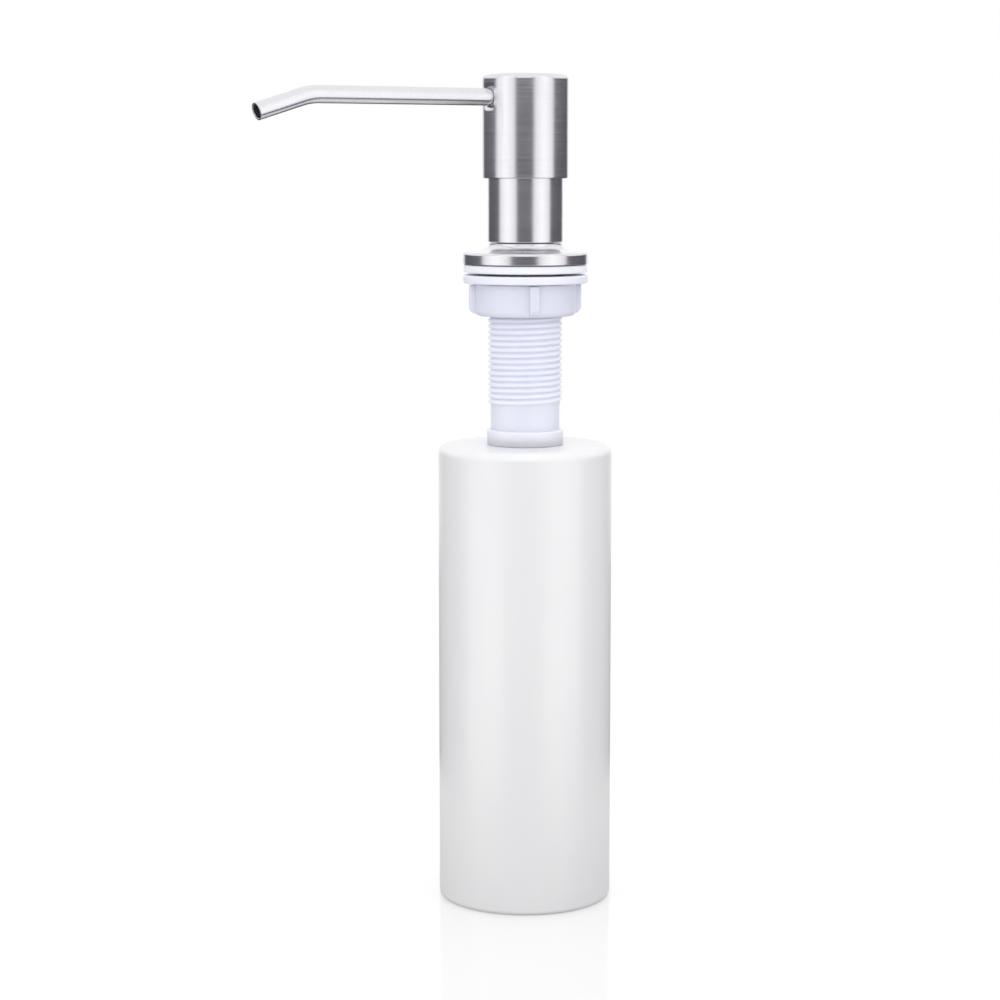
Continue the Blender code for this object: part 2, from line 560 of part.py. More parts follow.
def add_return_spring(parent):
    # Closed end coils with open ones between them.
    low = SPRING_Z + SPRING_WIRE
    open_height = SPRING_TOP_Z - SPRING_WIRE - low - 2 * SPRING_END_CLIMB
    open_turns = SPRING_TURNS - 2
    coil = CHAMBER_BORE - SPRING_CLEAR - SPRING_WIRE
    curve = bpy.data.curves.new("return_spring", "CURVE")
    curve.dimensions = "3D"
    curve.bevel_depth = SPRING_WIRE
    curve.bevel_resolution = 1
    curve.use_fill_caps = True
    curve.render_resolution_u = 0
    wire = curve.splines.new("POLY")
    wire.points.add(SPRING_TURNS * SPRING_STEPS)
    for i, point in enumerate(wire.points):
        turn = i / SPRING_STEPS
        opened = min(max(turn - 1, 0), open_turns)
        height = low + (turn - opened) * SPRING_END_CLIMB + open_height * opened / open_turns
        angle = math.tau * turn
        point.co = (coil * math.cos(angle), coil * math.sin(angle), height, 1.0)
    curve.materials.append(principled("return_spring", BRIGHT_STEEL))
    spring = bpy.data.objects.new("return_spring", curve)
    spring.parent = parent
    bpy.context.collection.objects.link(spring)
    return spring


def along_spout():
    # Turns +Z into the spout's outward direction and lifts it to the spout's height.
    return Matrix.Translation((0, 0, SPOUT_Z)) @ Matrix.Rotation(math.radians(-90), 4, "Y")


def add_head_core(parent):
    # The moulded core grips the stem, holds the outlet valve and carries the spout.
    boss = STEM_SOCKET + BOSS_WALL
    outline = [(STEM_SOCKET, BOSS_Z), (boss, BOSS_Z), (boss, CORE_Z), (CORE_RADIUS, CORE_Z),
               (CORE_RADIUS, CORE_TOP_Z), (0.0, CORE_TOP_Z), (0.0, OUTLET_CEILING_Z),
               (OUTLET_BORE, OUTLET_CEILING_Z), (OUTLET_BORE, OUTLET_FLOOR_Z),
               (STEM_SOCKET, OUTLET_FLOOR_Z)]
    core = turned("head_core", outline, PUMP_WHITE, parent)

    groove = SPOUT_HOLE + SPOUT_GROOVE_DEPTH
    groove_start = SPOUT_START + SPOUT_GROOVE_INSET
    groove_end = groove_start + GROOVE_WIDTH
    stop = SPOUT_START - GAP
    drill = [(0.0, 0.0), (OUTLET_CHANNEL, 0.0), (OUTLET_CHANNEL, stop), (SPOUT_HOLE, stop),
             (SPOUT_HOLE, groove_start), (groove, groove_start), (groove, groove_end),
             (SPOUT_HOLE, groove_end), (SPOUT_HOLE, SHELL_RADIUS), (0.0, SHELL_RADIUS)]
    shape_with(core, turned("spout_drill", drill, None, parent, SMALL_SEGMENTS, along_spout()))
    o_ring("spout_o_ring", SPOUT_RADIUS, groove, (groove_start + groove_end) / 2,
           SEAL_BLACK, parent, along_spout())


def add_head_shell(parent):
    edge, ceiling = SHELL_TOP_Z - SHELL_CROWN, SHELL_TOP_Z - SHELL_CROWN - SHELL_WALL
    flat = SHELL_RADIUS - SHELL_CORNER
    outline = [(SHELL_BORE, SHELL_Z), (SHELL_RADIUS, SHELL_Z)]
    outline += arc((flat, edge - SHELL_CORNER), SHELL_CORNER, 0, 90, 4)
    outline += [(flat * share, SHELL_TOP_Z - SHELL_CROWN * share ** 2) for share in (0.75, 0.5, 0.25)]
    outline += [(0.0, SHELL_TOP_Z), (0.0, ceiling), (SHELL_BORE, ceiling)]
    shell = turned("head_shell", outline, BRUSHED_STEEL, parent, HEAD_SEGMENTS)
    beyond = 2 * SHELL_RADIUS
    hole = [(0.0, 0.0), (SPOUT_HOLE, 0.0), (SPOUT_HOLE, beyond), (0.0, beyond)]
    shape_with(shell, turned("spout_hole", hole, None, parent, SMALL_SEGMENTS, along_spout()))
    return shell


def spout_sections():
    # Placements of the spout's round sections: out along the straight, round the bend, to the tip.
    drop = math.radians(SPOUT_DROP_ANGLE)
    sections = [Matrix.Translation((0, 0, SPOUT_START))]
    for i in range(SPOUT_BEND_STEPS + 1):
        angle = drop * i / SPOUT_BEND_STEPS
        outward = SPOUT_STRAIGHT_END + SPOUT_BEND * math.sin(angle)
        centre = (SPOUT_BEND * (math.cos(angle) - 1), 0, outward)
        sections.append(Matrix.Translation(centre) @ Matrix.Rotation(-angle, 4, "Y"))
    sections.append(sections[-1] @ Matrix.Translation((0, 0, SPOUT_TIP)))
    return sections


def add_spout_tube(parent):
    bm = bmesh.new()
    sections = spout_sections()
    loops = [(SPOUT_RADIUS, section) for section in sections]
    loops += [(SPOUT_RADIUS - SPOUT_WALL, section) for section in reversed(sections)]
    rings = [bmesh.ops.create_circle(bm, segments=RING_SEGMENTS, radius=radius, matrix=section)["verts"]
             for radius, section in loops]
    for ring, following in zip(rings, rings[1:] + rings[:1]):
        for i in range(RING_SEGMENTS):
            after = (i + 1) % RING_SEGMENTS
            bm.faces.new((ring[i], ring[after], following[after], following[i]))
    return add_piece("spout_tube", bm, BRUSHED_STEEL, parent, along_spout())


def build_dispenser():
    clear_scene()
    base = joint_frame("base_axis")
    nut_axis = joint_frame("nut_axis", base)
    bottle_axis = joint_frame("bottle_axis", base)
    pump_axis = joint_frame("pump_axis", base)
    piston_axis = joint_frame("piston_axis", pump_axis)
    head_axis = joint_frame("head_axis", piston_axis)

    add_bottle(bottle_axis)
    washer_ring("bottle_seal", LOWER_CREST + SLIDE_GAP, BOTTLE_SEAL_RADIUS, SEAL_Z,
                BOTTLE_SEAL_THICKNESS, GASKET_WHITE, bottle_axis)
    add_threaded_shank(base)
    add_flange_cover(base)
    washer_ring("deck_gasket", SHANK_HOLE, GASKET_RADIUS, GASKET_Z, GASKET_THICKNESS,
                GASKET_WHITE, base)
    washer_ring("clamp_washer", SHANK_HOLE, WASHER_RADIUS, WASHER_Z, WASHER_THICKNESS,
                GASKET_WHITE, nut_axis)
    add_mounting_nut(nut_axis)

    add_collar_sleeve(pump_axis)
    add_pump_seat(pump_axis)
    washer_ring("chamber_gasket", CHAMBER_RADIUS + GAP, CHAMBER_LIP_RADIUS, LEDGE_Z + GAP,
                CHAMBER_GASKET_THICKNESS, SEAL_BLACK, pump_axis, SMALL_SEGMENTS)
    add_pump_chamber(pump_axis)
    add_dip_tube(pump_axis)
    ball("inlet_ball", VALVE_BALL, INLET_BALL_Z, BRIGHT_STEEL, pump_axis)
    add_stem_guide(pump_axis)

    add_piston(piston_axis)
    add_return_spring(piston_axis)
    ball("outlet_ball", OUTLET_BALL, OUTLET_BALL_Z, BRIGHT_STEEL, piston_axis)
    add_head_core(head_axis)
    add_head_shell(head_axis)
    add_spout_tube(head_axis)


build_dispenser()
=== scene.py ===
from math import ceil, cos, hypot, radians, sin, tau

import bmesh
import bpy
from mathutils import Matrix, Vector


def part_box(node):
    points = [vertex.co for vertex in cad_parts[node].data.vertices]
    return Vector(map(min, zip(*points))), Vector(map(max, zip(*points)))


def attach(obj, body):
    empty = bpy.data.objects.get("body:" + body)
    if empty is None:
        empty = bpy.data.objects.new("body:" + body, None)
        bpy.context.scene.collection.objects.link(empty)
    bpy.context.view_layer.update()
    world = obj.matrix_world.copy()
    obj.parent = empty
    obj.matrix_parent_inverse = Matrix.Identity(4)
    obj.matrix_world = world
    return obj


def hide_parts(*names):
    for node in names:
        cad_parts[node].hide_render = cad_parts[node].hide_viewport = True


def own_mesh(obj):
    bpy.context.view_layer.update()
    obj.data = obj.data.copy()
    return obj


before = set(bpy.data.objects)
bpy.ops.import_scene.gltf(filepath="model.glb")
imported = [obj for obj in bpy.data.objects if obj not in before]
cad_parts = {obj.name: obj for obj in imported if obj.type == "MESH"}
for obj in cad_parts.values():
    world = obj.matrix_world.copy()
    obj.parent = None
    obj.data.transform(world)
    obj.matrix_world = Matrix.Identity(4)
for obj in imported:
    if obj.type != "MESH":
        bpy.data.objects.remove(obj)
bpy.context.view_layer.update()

mm = 0.001
turnSteps = 96  # steps round a turned piece and its thread, so that they share their rings
metalSteps = 144  # steps round the metal pieces, whose gloss would show wider facets
fewestSteps, mostSteps, stepsPerMm = 3, 8, 4  # how finely a rounded corner is stepped
holdingGap = 0.08  # mm between a corner and the loop that keeps the wall beside it flat
longWall = 0.8  # mm from which a wall gets such loops
mergeGap = 0.002  # mm below which two vertices become one
slack = 0.01  # mm allowed when edges are picked by their place
scene = bpy.context.scene
scene.view_settings.view_transform = "Standard"
scene.view_settings.look = "None"

# the camera first, then the light and the floor, with lengths in mm and angles in degrees
cameraSetup = {
    "azimuth": -31.0,  # round Z from looking along +Y
    "distance": 862.0,
    "height": 254.7,
    "sideStep": 8.7,
    "pitch": 6.9,
    "lens": 90.0,
    "sensor": 36.0,
    "shiftY": -0.03,
    "nearest": 0.05,  # metres
}


def placeCamera(setup):
    turn = radians(setup["azimuth"])
    outward = Vector((sin(turn), -cos(turn), 0))
    right = Vector((cos(turn), sin(turn), 0))
    data = bpy.data.cameras.new("studioCamera")
    data.lens = setup["lens"]
    data.sensor_width = setup["sensor"]
    data.shift_y = setup["shiftY"]
    data.clip_start = setup["nearest"]
    camera = bpy.data.objects.new("studioCamera", data)
    camera.location = (outward * setup["distance"] - right * setup["sideStep"]) * mm
    camera.location.z = setup["height"] * mm
    camera.rotation_euler = (radians(90 - setup["pitch"]), 0, turn)
    scene.collection.objects.link(camera)
    scene.camera = camera


def addNode(tree, kind, inputs=None, **settings):
    # inputs maps a socket to a value, or to the output that feeds it
    made = tree.nodes.new(kind)
    for key, value in settings.items():
        setattr(made, key, value)
    for socket, source in (inputs or {}).items():
        if isinstance(source, bpy.types.NodeSocket):
            tree.links.new(source, made.inputs[socket])
        else:
            made.inputs[socket].default_value = source
    return made


def blend(tree, share, first, second):
    # colours are (r, g, b) or an output
    mixed = tree.nodes.new("ShaderNodeMix")
    mixed.data_type = "RGBA"
    for socket, source in ((0, share), (6, first), (7, second)):
        if isinstance(source, bpy.types.NodeSocket):
            tree.links.new(source, mixed.inputs[socket])
        elif isinstance(source, tuple):
            mixed.inputs[socket].default_value = source + (1,)
        else:
            mixed.inputs[socket].default_value = source
    return mixed.outputs[2]


worldSetup = {
    "backdrop": 1.0,  # what the camera sees behind the object
    "fill": 0.97,  # soft light from all round
    "glossLow": 0.10,  # what metal reflects at the height of the horizon
    "glossHigh": 1.0,  # and from overhead
    "glossTint": (0.95, 0.94, 1.10),
    "climbFrom": 0.06,  # sine of the elevation where the low level ends
    "climbTo": 0.20,  # and where the high one starts
}
white = (1.0, 1.0, 1.0)


def lightWorld(setup):
    world = bpy.data.worlds.new("studioWorld")
    scene.world = world
    world.use_nodes = True
    tree = world.node_tree
    tree.nodes.clear()
    direction = addNode(tree, "ShaderNodeTexCoord").outputs["Generated"]
    height = addNode(tree, "ShaderNodeSeparateXYZ", {0: direction}).outputs["Z"]
    climb = addNode(tree, "ShaderNodeMapRange", {
        "Value": height, "From Min": setup["climbFrom"], "From Max": setup["climbTo"]},
        interpolation_type="SMOOTHSTEP")
    gloss = addNode(tree, "ShaderNodeMapRange", {
        "Value": climb.outputs["Result"], "To Min": setup["glossLow"], "To Max": setup["glossHigh"]})
    tint = blend(tree, climb.outputs["Result"], setup["glossTint"], white)
    rays = addNode(tree, "ShaderNodeLightPath").outputs
    seen = addNode(tree, "ShaderNodeMix", {
        "Factor": rays["Is Glossy Ray"], "A": setup["fill"], "B": gloss.outputs["Result"]})
    level = addNode(tree, "ShaderNodeMix", {
        "Factor": rays["Is Camera Ray"], "A": seen.outputs["Result"], "B": setup["backdrop"]})
    glow = addNode(tree, "ShaderNodeBackground", {
        "Color": blend(tree, rays["Is Glossy Ray"], white, tint),
        "Strength": level.outputs["Result"]})
    addNode(tree, "ShaderNodeOutputWorld", {"Surface": glow.outputs["Background"]})


# each softbox: azimuth from the camera's side of the object, size and place in mm, level at its
# middle, edge for the share of its width that fades, dim for the share of the level at its sides
softboxRim = 0.25  # share of the light left where the fade ends
softboxes = {
    "leftSoftbox": {"azimuth": -56.0, "reach": 700, "width": 840, "low": -250, "high": 1000,
                    "level": 1.22, "edge": 0.16, "dim": 0.70},
    "rightSoftbox": {"azimuth": 50.5, "reach": 700, "width": 825, "low": -250, "high": 1000,
                     "level": 1.22, "edge": 0.16, "dim": 0.70},
    "backSoftbox": {"azimuth": 180.0, "reach": 750, "width": 1000, "low": 0, "high": 650,
                    "level": 1.1, "edge": 0.12, "dim": 0.9},
}


def addSoftbox(name, setup):
    bm = bmesh.new()
    bmesh.ops.create_grid(bm, x_segments=1, y_segments=1, size=0.5)
    high = setup["high"] - setup["low"]
    bmesh.ops.scale(bm, vec=(setup["width"] * mm, high * mm, 1), verts=bm.verts)
    mesh = bpy.data.meshes.new(name)
    bm.to_mesh(mesh)
    bm.free()
    panel = bpy.data.objects.new(name, mesh)
    side = radians(cameraSetup["azimuth"] + setup["azimuth"])
    panel.location = (sin(side) * setup["reach"] * mm, -cos(side) * setup["reach"] * mm,
                      (setup["low"] + high / 2) * mm)
    panel.rotation_euler = (radians(90), 0, side)
    material = bpy.data.materials.new(name)
    material.use_nodes = True
    tree = material.node_tree
    tree.nodes.clear()
    across = addNode(tree, "ShaderNodeSeparateXYZ", {
        0: addNode(tree, "ShaderNodeTexCoord").outputs["Object"]}).outputs["X"]
    share = addNode(tree, "ShaderNodeMath", {0: across, 1: 2 / (setup["width"] * mm)}, operation="MULTIPLY")
    share = addNode(tree, "ShaderNodeMath", {0: share.outputs[0]}, operation="ABSOLUTE")
    fade = addNode(tree, "ShaderNodeMapRange", {
        "Value": share.outputs[0], "From Min": 1 - setup["edge"], "From Max": 1.0,
        "To Min": 1.0, "To Max": softboxRim}, interpolation_type="SMOOTHSTEP")
    belly = addNode(tree, "ShaderNodeMapRange", {
        "Value": share.outputs[0], "From Min": 0.0, "From Max": 1.0,
        "To Min": setup["level"], "To Max": setup["level"] * setup["dim"]})
    level = addNode(tree, "ShaderNodeMath", {
        0: fade.outputs["Result"], 1: belly.outputs["Result"]}, operation="MULTIPLY")
    glow = addNode(tree, "ShaderNodeEmission", {"Strength": level.outputs[0]})
    addNode(tree, "ShaderNodeOutputMaterial", {"Surface": glow.outputs["Emission"]})
    mesh.materials.append(material)
    panel.visible_camera = False
    panel.visible_shadow = False
    scene.collection.objects.link(panel)


# large lamps that show in no reflection: azimuth from the camera's side, elevation, size and power
lampAim = 140  # mm above the floor
lamps = {
    "frontLamp": {"azimuth": -4.0, "elevation": 24.0, "reach": 1100, "size": 500, "power": 1.8},
    "topLamp": {"azimuth": 20.0, "elevation": 80.0, "reach": 1100, "size": 700, "power": 1.5},
}


def addLamp(name, setup):
    data = bpy.data.lights.new(name, "AREA")
    data.shape = "SQUARE"
    data.size = setup["size"] * mm
    data.energy = setup["power"]
    lamp = bpy.data.objects.new(name, data)
    side, rise = radians(cameraSetup["azimuth"] + setup["azimuth"]), radians(setup["elevation"])
    outward = Vector((sin(side) * cos(rise), -cos(side) * cos(rise), sin(rise)))
    lamp.location = outward * setup["reach"] * mm + Vector((0, 0, lampAim * mm))
    lamp.rotation_euler = outward.to_track_quat("Z", "Y").to_euler()
    lamp.visible_glossy = False
    lamp.visible_camera = False
    scene.collection.objects.link(lamp)


floorSetup = {
    "radius": 200,
    "white": 0.45,
    "glow": 0.12,  # light that the floor sheds
    "glowSeen": 0.40,  # and how bright it looks from in front
    "roughness": 0.12,
    "specular": 0.5,
    "gap": 0.05,  # mm between the floor and the bottle standing on it
}


def addFloor(setup):
    bm = bmesh.new()
    bmesh.ops.create_circle(bm, cap_ends=True, segments=turnSteps, radius=setup["radius"] * mm,
                            matrix=Matrix.Translation((0, 0, -setup["gap"] * mm)))
    mesh = bpy.data.meshes.new("studioFloor")
    bm.to_mesh(mesh)
    bm.free()
    material = bpy.data.materials.new("litAcrylicFloor")
    material.use_nodes = True
    shader = material.node_tree.nodes["Principled BSDF"]
    shader.inputs["Base Color"].default_value = (setup["white"],) * 3 + (1,)
    shader.inputs["Roughness"].default_value = setup["roughness"]
    shader.inputs["Specular IOR Level"].default_value = setup["specular"]
    shader.inputs["Emission Color"].default_value = (1, 1, 1, 1)
    seen = addNode(material.node_tree, "ShaderNodeMix", {
        "Factor": addNode(material.node_tree, "ShaderNodeLightPath").outputs["Is Camera Ray"],
        "A": setup["glow"], "B": setup["glowSeen"]})
    material.node_tree.links.new(seen.outputs["Result"], shader.inputs["Emission Strength"])
    mesh.materials.append(material)
    floor = bpy.data.objects.new("studioFloor", mesh)
    scene.collection.objects.link(floor)


placeCamera(cameraSetup)
lightWorld(worldSetup)
for softboxName, softboxSetup in softboxes.items():
    addSoftbox(softboxName, softboxSetup)
for lampName, lampSetup in lamps.items():
    addLamp(lampName, lampSetup)
addFloor(floorSetup)
print("studio ready")


# finishes; their patterns read Object coordinates, so they stay with the piece as it moves
def newFinish(name):
    material = bpy.data.materials.new(name)
    material.use_nodes = True
    tree = material.node_tree
    shader = tree.nodes["Principled BSDF"]
    return material, tree, shader, addNode(tree, "ShaderNodeTexCoord").outputs["Object"]


def grainNoise(tree, place, stretch, detail=5.0, rough=0.6, lean=0.0):
    # stretch is how many features there are to a metre along each axis
    mapped = addNode(tree, "ShaderNodeMapping", {"Vector": place, "Scale": stretch})
    noise = addNode(tree, "ShaderNodeTexNoise", {
        "Vector": mapped.outputs["Vector"], "Scale": 1.0, "Detail": detail, "Roughness": rough,
        "Distortion": lean})
    return noise.outputs["Fac"]


def remap(tree, value, low, high, fromLow=0.3, fromHigh=0.7):
    return addNode(tree, "ShaderNodeMapRange", {
        "Value": value, "From Min": fromLow, "From Max": fromHigh,
        "To Min": low, "To Max": high}).outputs["Result"]


def bumpFrom(tree, shader, height, strength, depth):
    bump = addNode(tree, "ShaderNodeBump", {
        "Height": height, "Strength": strength, "Distance": depth * mm})
    tree.links.new(bump.outputs["Normal"], shader.inputs["Normal"])


def addUp(tree, first, second, share):
    scaled = addNode(tree, "ShaderNodeMath", {0: second, 1: share}, operation="MULTIPLY")
    return addNode(tree, "ShaderNodeMath", {0: first, 1: scaled.outputs[0]}, operation="ADD").outputs[0]


nickelLook = {
    "light": (0.86, 0.855, 0.885),
    "dark": (0.76, 0.755, 0.80),
    "haze": (0.72, 0.71, 0.725),
    "hazeShare": 0.22,
    "smooth": 0.14,
    "worn": 0.25,
    "handled": 0.06,  # roughness that handling adds
    "handling": (55, 55, 38),
    "fineness": 3.1,  # how much finer the second set of strokes is
    "brushDepth": 0.012,
}


def brushedNickel(name, brush):
    # brush is how fine the brushing is along X, Y and Z: coarse along the strokes, fine across them
    material, tree, shader, place = newFinish(name)
    fineBrush = tuple(nickelLook["fineness"] * b for b in brush)
    strokes = grainNoise(tree, place, brush, detail=6.0, rough=0.75)
    fineStrokes = grainNoise(tree, place, fineBrush, detail=3.0, rough=0.7)
    handling = grainNoise(tree, place, nickelLook["handling"], detail=4.0, rough=0.55, lean=0.6)
    strokeSum = addUp(tree, strokes, fineStrokes, 0.5)
    tint = blend(tree, remap(tree, strokeSum, 0.0, 1.0, 0.55, 0.95), nickelLook["dark"], nickelLook["light"])
    hazeShare = remap(tree, handling, 0.0, nickelLook["hazeShare"], 0.45, 0.75)
    hazy = blend(tree, hazeShare, tint, nickelLook["haze"])
    tree.links.new(hazy, shader.inputs["Base Color"])
    shader.inputs["Metallic"].default_value = 1.0
    rough = remap(tree, strokeSum, nickelLook["smooth"], nickelLook["worn"], 0.5, 1.0)
    rough = addUp(tree, rough, remap(tree, handling, 0.0, nickelLook["handled"]), 1.0)
    tree.links.new(rough, shader.inputs["Roughness"])
    bumpFrom(tree, shader, strokeSum, 0.25, nickelLook["brushDepth"])
    return material


bottleLook = {
    "body": (0.815, 0.815, 0.825),
    "cloud": (0.78, 0.78, 0.795),
    "line": (0.79, 0.79, 0.805),
    "smooth": 0.27,
    "dull": 0.37,
    "gloss": 1.0,
    "ior": 1.6,
    "softness": 0.15,
    "softTint": (1.0, 0.95, 0.9),
    "softDepth": 1.5,
    "cloudSize": (26, 26, 13),
    "lineSize": (420, 420, 5),
    "peelSize": (900, 900, 700),
}


def milkyPlastic(name):
    # blow-moulded body: faint clouds from the wall's thickness, long die lines and a fine orange peel
    material, tree, shader, place = newFinish(name)
    clouds = grainNoise(tree, place, bottleLook["cloudSize"], detail=3.0, rough=0.5, lean=0.4)
    dieLines = grainNoise(tree, place, bottleLook["lineSize"], detail=3.0, rough=0.5)
    peel = grainNoise(tree, place, bottleLook["peelSize"], detail=3.0, rough=0.55)
    body = blend(tree, remap(tree, clouds, 0.0, 1.0), bottleLook["body"], bottleLook["cloud"])
    body = blend(tree, remap(tree, dieLines, 0.0, 0.35, 0.45, 0.75), body, bottleLook["line"])
    tree.links.new(body, shader.inputs["Base Color"])
    rough = remap(tree, addUp(tree, clouds, peel, 0.3), bottleLook["smooth"], bottleLook["dull"], 0.35, 0.95)
    tree.links.new(rough, shader.inputs["Roughness"])
    shader.inputs["Specular IOR Level"].default_value = bottleLook["gloss"]
    shader.inputs["IOR"].default_value = bottleLook["ior"]
    shader.inputs["Subsurface Weight"].default_value = bottleLook["softness"]
    shader.inputs["Subsurface Radius"].default_value = bottleLook["softTint"]
    shader.inputs["Subsurface Scale"].default_value = bottleLook["softDepth"] * mm
    bumpFrom(tree, shader, addUp(tree, peel, dieLines, 0.8), 0.10, 0.02)
    return material


mouldedLook = {
    "smooth": 0.34,
    "dull": 0.46,
    "peelSize": (1500, 1500, 1500),
    "scuffSize": (130, 130, 900),
    "scuffed": 0.93,  # how much darker than the shade a scuff is
    "scuffShare": 0.25,
}


def mouldedPlastic(name, body, shade, soft=0.2, depth=1.2, flow=(60, 60, 30)):
    # injection-moulded part: weak flow marks, fine surface texture and scuffs that stay matt
    material, tree, shader, place = newFinish(name)
    marks = grainNoise(tree, place, flow, detail=4.0, rough=0.55, lean=1.2)
    peel = grainNoise(tree, place, mouldedLook["peelSize"], detail=2.0, rough=0.6)
    scuffs = grainNoise(tree, place, mouldedLook["scuffSize"], detail=5.0, rough=0.7)
    tint = blend(tree, remap(tree, marks, 0.0, 1.0), body, shade)
    scuffShare = remap(tree, scuffs, 0.0, mouldedLook["scuffShare"], 0.55, 0.8)
    tint = blend(tree, scuffShare, tint, tuple(mouldedLook["scuffed"] * c for c in shade))
    tree.links.new(tint, shader.inputs["Base Color"])
    wear = addUp(tree, marks, scuffs, 0.7)
    tree.links.new(remap(tree, wear, mouldedLook["smooth"], mouldedLook["dull"], 0.6, 1.1),
                   shader.inputs["Roughness"])
    shader.inputs["Subsurface Weight"].default_value = soft
    shader.inputs["Subsurface Radius"].default_value = (1.0, 1.0, 1.0)
    shader.inputs["Subsurface Scale"].default_value = depth * mm
    bumpFrom(tree, shader, addUp(tree, peel, scuffs, 0.4), 0.2, 0.02)
    return material


foamLook = {
    "light": (0.85, 0.86, 0.91),
    "patch": (0.81, 0.82, 0.875),
    # painted shade for the hollows of the cut cells
    "cellShade": (0.76, 0.77, 0.83),
    "cells": 2600.0,  # per metre
    "smooth": 0.55,
    "dull": 0.72,
    "softness": 0.2,
    "softDepth": 1.0,
}


def foamRubber(name):
    # closed-cell foam: cut cells on every face, their hollows darkened as painted shade, and slightly darker
    # patches
    look = foamLook
    material, tree, shader, place = newFinish(name)
    cells = addNode(tree, "ShaderNodeTexVoronoi", {
        "Vector": place, "Scale": look["cells"]}).outputs["Distance"]
    patches = grainNoise(tree, place, (120, 120, 120), detail=3.0)
    tint = blend(tree, remap(tree, patches, 0.0, 1.0), look["light"], look["patch"])
    # painted shade: darker towards the middle of each cut cell, where the bump sinks it
    tint = blend(tree, remap(tree, cells, 0.35, 0.0, 0.0, 0.5), tint, look["cellShade"])
    tree.links.new(tint, shader.inputs["Base Color"])
    tree.links.new(remap(tree, patches, look["smooth"], look["dull"]), shader.inputs["Roughness"])
    shader.inputs["Subsurface Weight"].default_value = look["softness"]
    shader.inputs["Subsurface Scale"].default_value = look["softDepth"] * mm
    bumpFrom(tree, shader, cells, 0.35, 0.05)
    return material


rubberLook = {"black": (0.016, 0.016, 0.018), "bloom": (0.048, 0.047, 0.046), "smooth": 0.38, "dull": 0.66}


def sealRubber(name):
    material, tree, shader, place = newFinish(name)
    bloom = grainNoise(tree, place, (260, 260, 260), detail=5.0, rough=0.65)
    grain = grainNoise(tree, place, (4200, 4200, 4200), detail=2.0)
    tree.links.new(blend(tree, remap(tree, bloom, 0.0, 1.0), rubberLook["black"], rubberLook["bloom"]),
                   shader.inputs["Base Color"])
    tree.links.new(remap(tree, bloom, rubberLook["smooth"], rubberLook["dull"]), shader.inputs["Roughness"])
    bumpFrom(tree, shader, grain, 0.3, 0.02)
    return material


tubingLook = {
    "clear": (0.80, 0.84, 0.86),
    "haze": (0.88, 0.90, 0.91),
    "smooth": 0.16,
    "dull": 0.34,
    "clearness": 0.55,
    "ior": 1.5,
}


def clearTubing(name):
    material, tree, shader, place = newFinish(name)
    drawLines = grainNoise(tree, place, (900, 900, 6), detail=3.0)
    haze = grainNoise(tree, place, (90, 90, 30), detail=4.0)
    tree.links.new(blend(tree, remap(tree, haze, 0.0, 1.0), tubingLook["clear"], tubingLook["haze"]),
                   shader.inputs["Base Color"])
    wear = addUp(tree, haze, drawLines, 0.5)
    tree.links.new(remap(tree, wear, tubingLook["smooth"], tubingLook["dull"], 0.5, 1.0),
                   shader.inputs["Roughness"])
    shader.inputs["Transmission Weight"].default_value = tubingLook["clearness"]
    shader.inputs["IOR"].default_value = tubingLook["ior"]
    bumpFrom(tree, shader, drawLines, 0.15, 0.02)
    return material


steelLook = {"bright": (0.78, 0.78, 0.79), "tarnish": (0.66, 0.65, 0.64), "smooth": 0.08, "dull": 0.2}


def polishedSteel(name):
    material, tree, shader, place = newFinish(name)
    lap = grainNoise(tree, place, (700, 700, 700), detail=4.0, rough=0.7)
    tarnish = grainNoise(tree, place, (160, 160, 160), detail=3.0)
    tree.links.new(blend(tree, remap(tree, tarnish, 0.0, 1.0), steelLook["bright"], steelLook["tarnish"]),
                   shader.inputs["Base Color"])
    shader.inputs["Metallic"].default_value = 1.0
    tree.links.new(remap(tree, lap, steelLook["smooth"], steelLook["dull"]), shader.inputs["Roughness"])
    bumpFrom(tree, shader, lap, 0.12, 0.01)
    return material


headNickel = brushedNickel("headNickel", (22, 22, 5200))
spoutNickel = brushedNickel("spoutNickel", (4200, 700, 700))
flangeNickel = brushedNickel("flangeNickel", (24, 24, 5600))
bottleWhite = milkyPlastic("bottleWhite")
shankWhite = mouldedPlastic("shankWhite", (0.765, 0.78, 0.90), (0.745, 0.76, 0.885), soft=1.0, depth=4.0)
nutWhite = mouldedPlastic("nutWhite", (0.72, 0.73, 0.835), (0.69, 0.70, 0.81), flow=(45, 45, 80))
washerWhite = mouldedPlastic("washerWhite", (0.80, 0.815, 0.90), (0.77, 0.785, 0.875), flow=(80, 80, 80))
gasketFoam = foamRubber("gasketFoam")
pumpWhite = mouldedPlastic("pumpWhite", (0.83, 0.83, 0.815), (0.78, 0.78, 0.76), flow=(110, 110, 70))
sealBlack = sealRubber("sealBlack")
tubeClear = clearTubing("tubeClear")
valveSteel = polishedSteel("valveSteel")
print("finishes ready")


# modelling helpers, which take their lengths in mm
def span(nodeName):
    # radius, underside and top of a round piece of the frame
    low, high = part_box(nodeName)
    return high.y / mm, low.z / mm, high.z / mm


def holdFlat(bm, edges):
    # a close loop at both ends of each long wall
    for edge in edges:
        length = edge.calc_length()
        if length > longWall * mm:
            near, far = edge.verts
            added = bmesh.utils.edge_split(edge, near, holdingGap * mm / length)[1]
            rest = next(e for e in far.link_edges if e.other_vert(far) == added)
            bmesh.utils.edge_split(rest, far, holdingGap * mm / rest.calc_length())


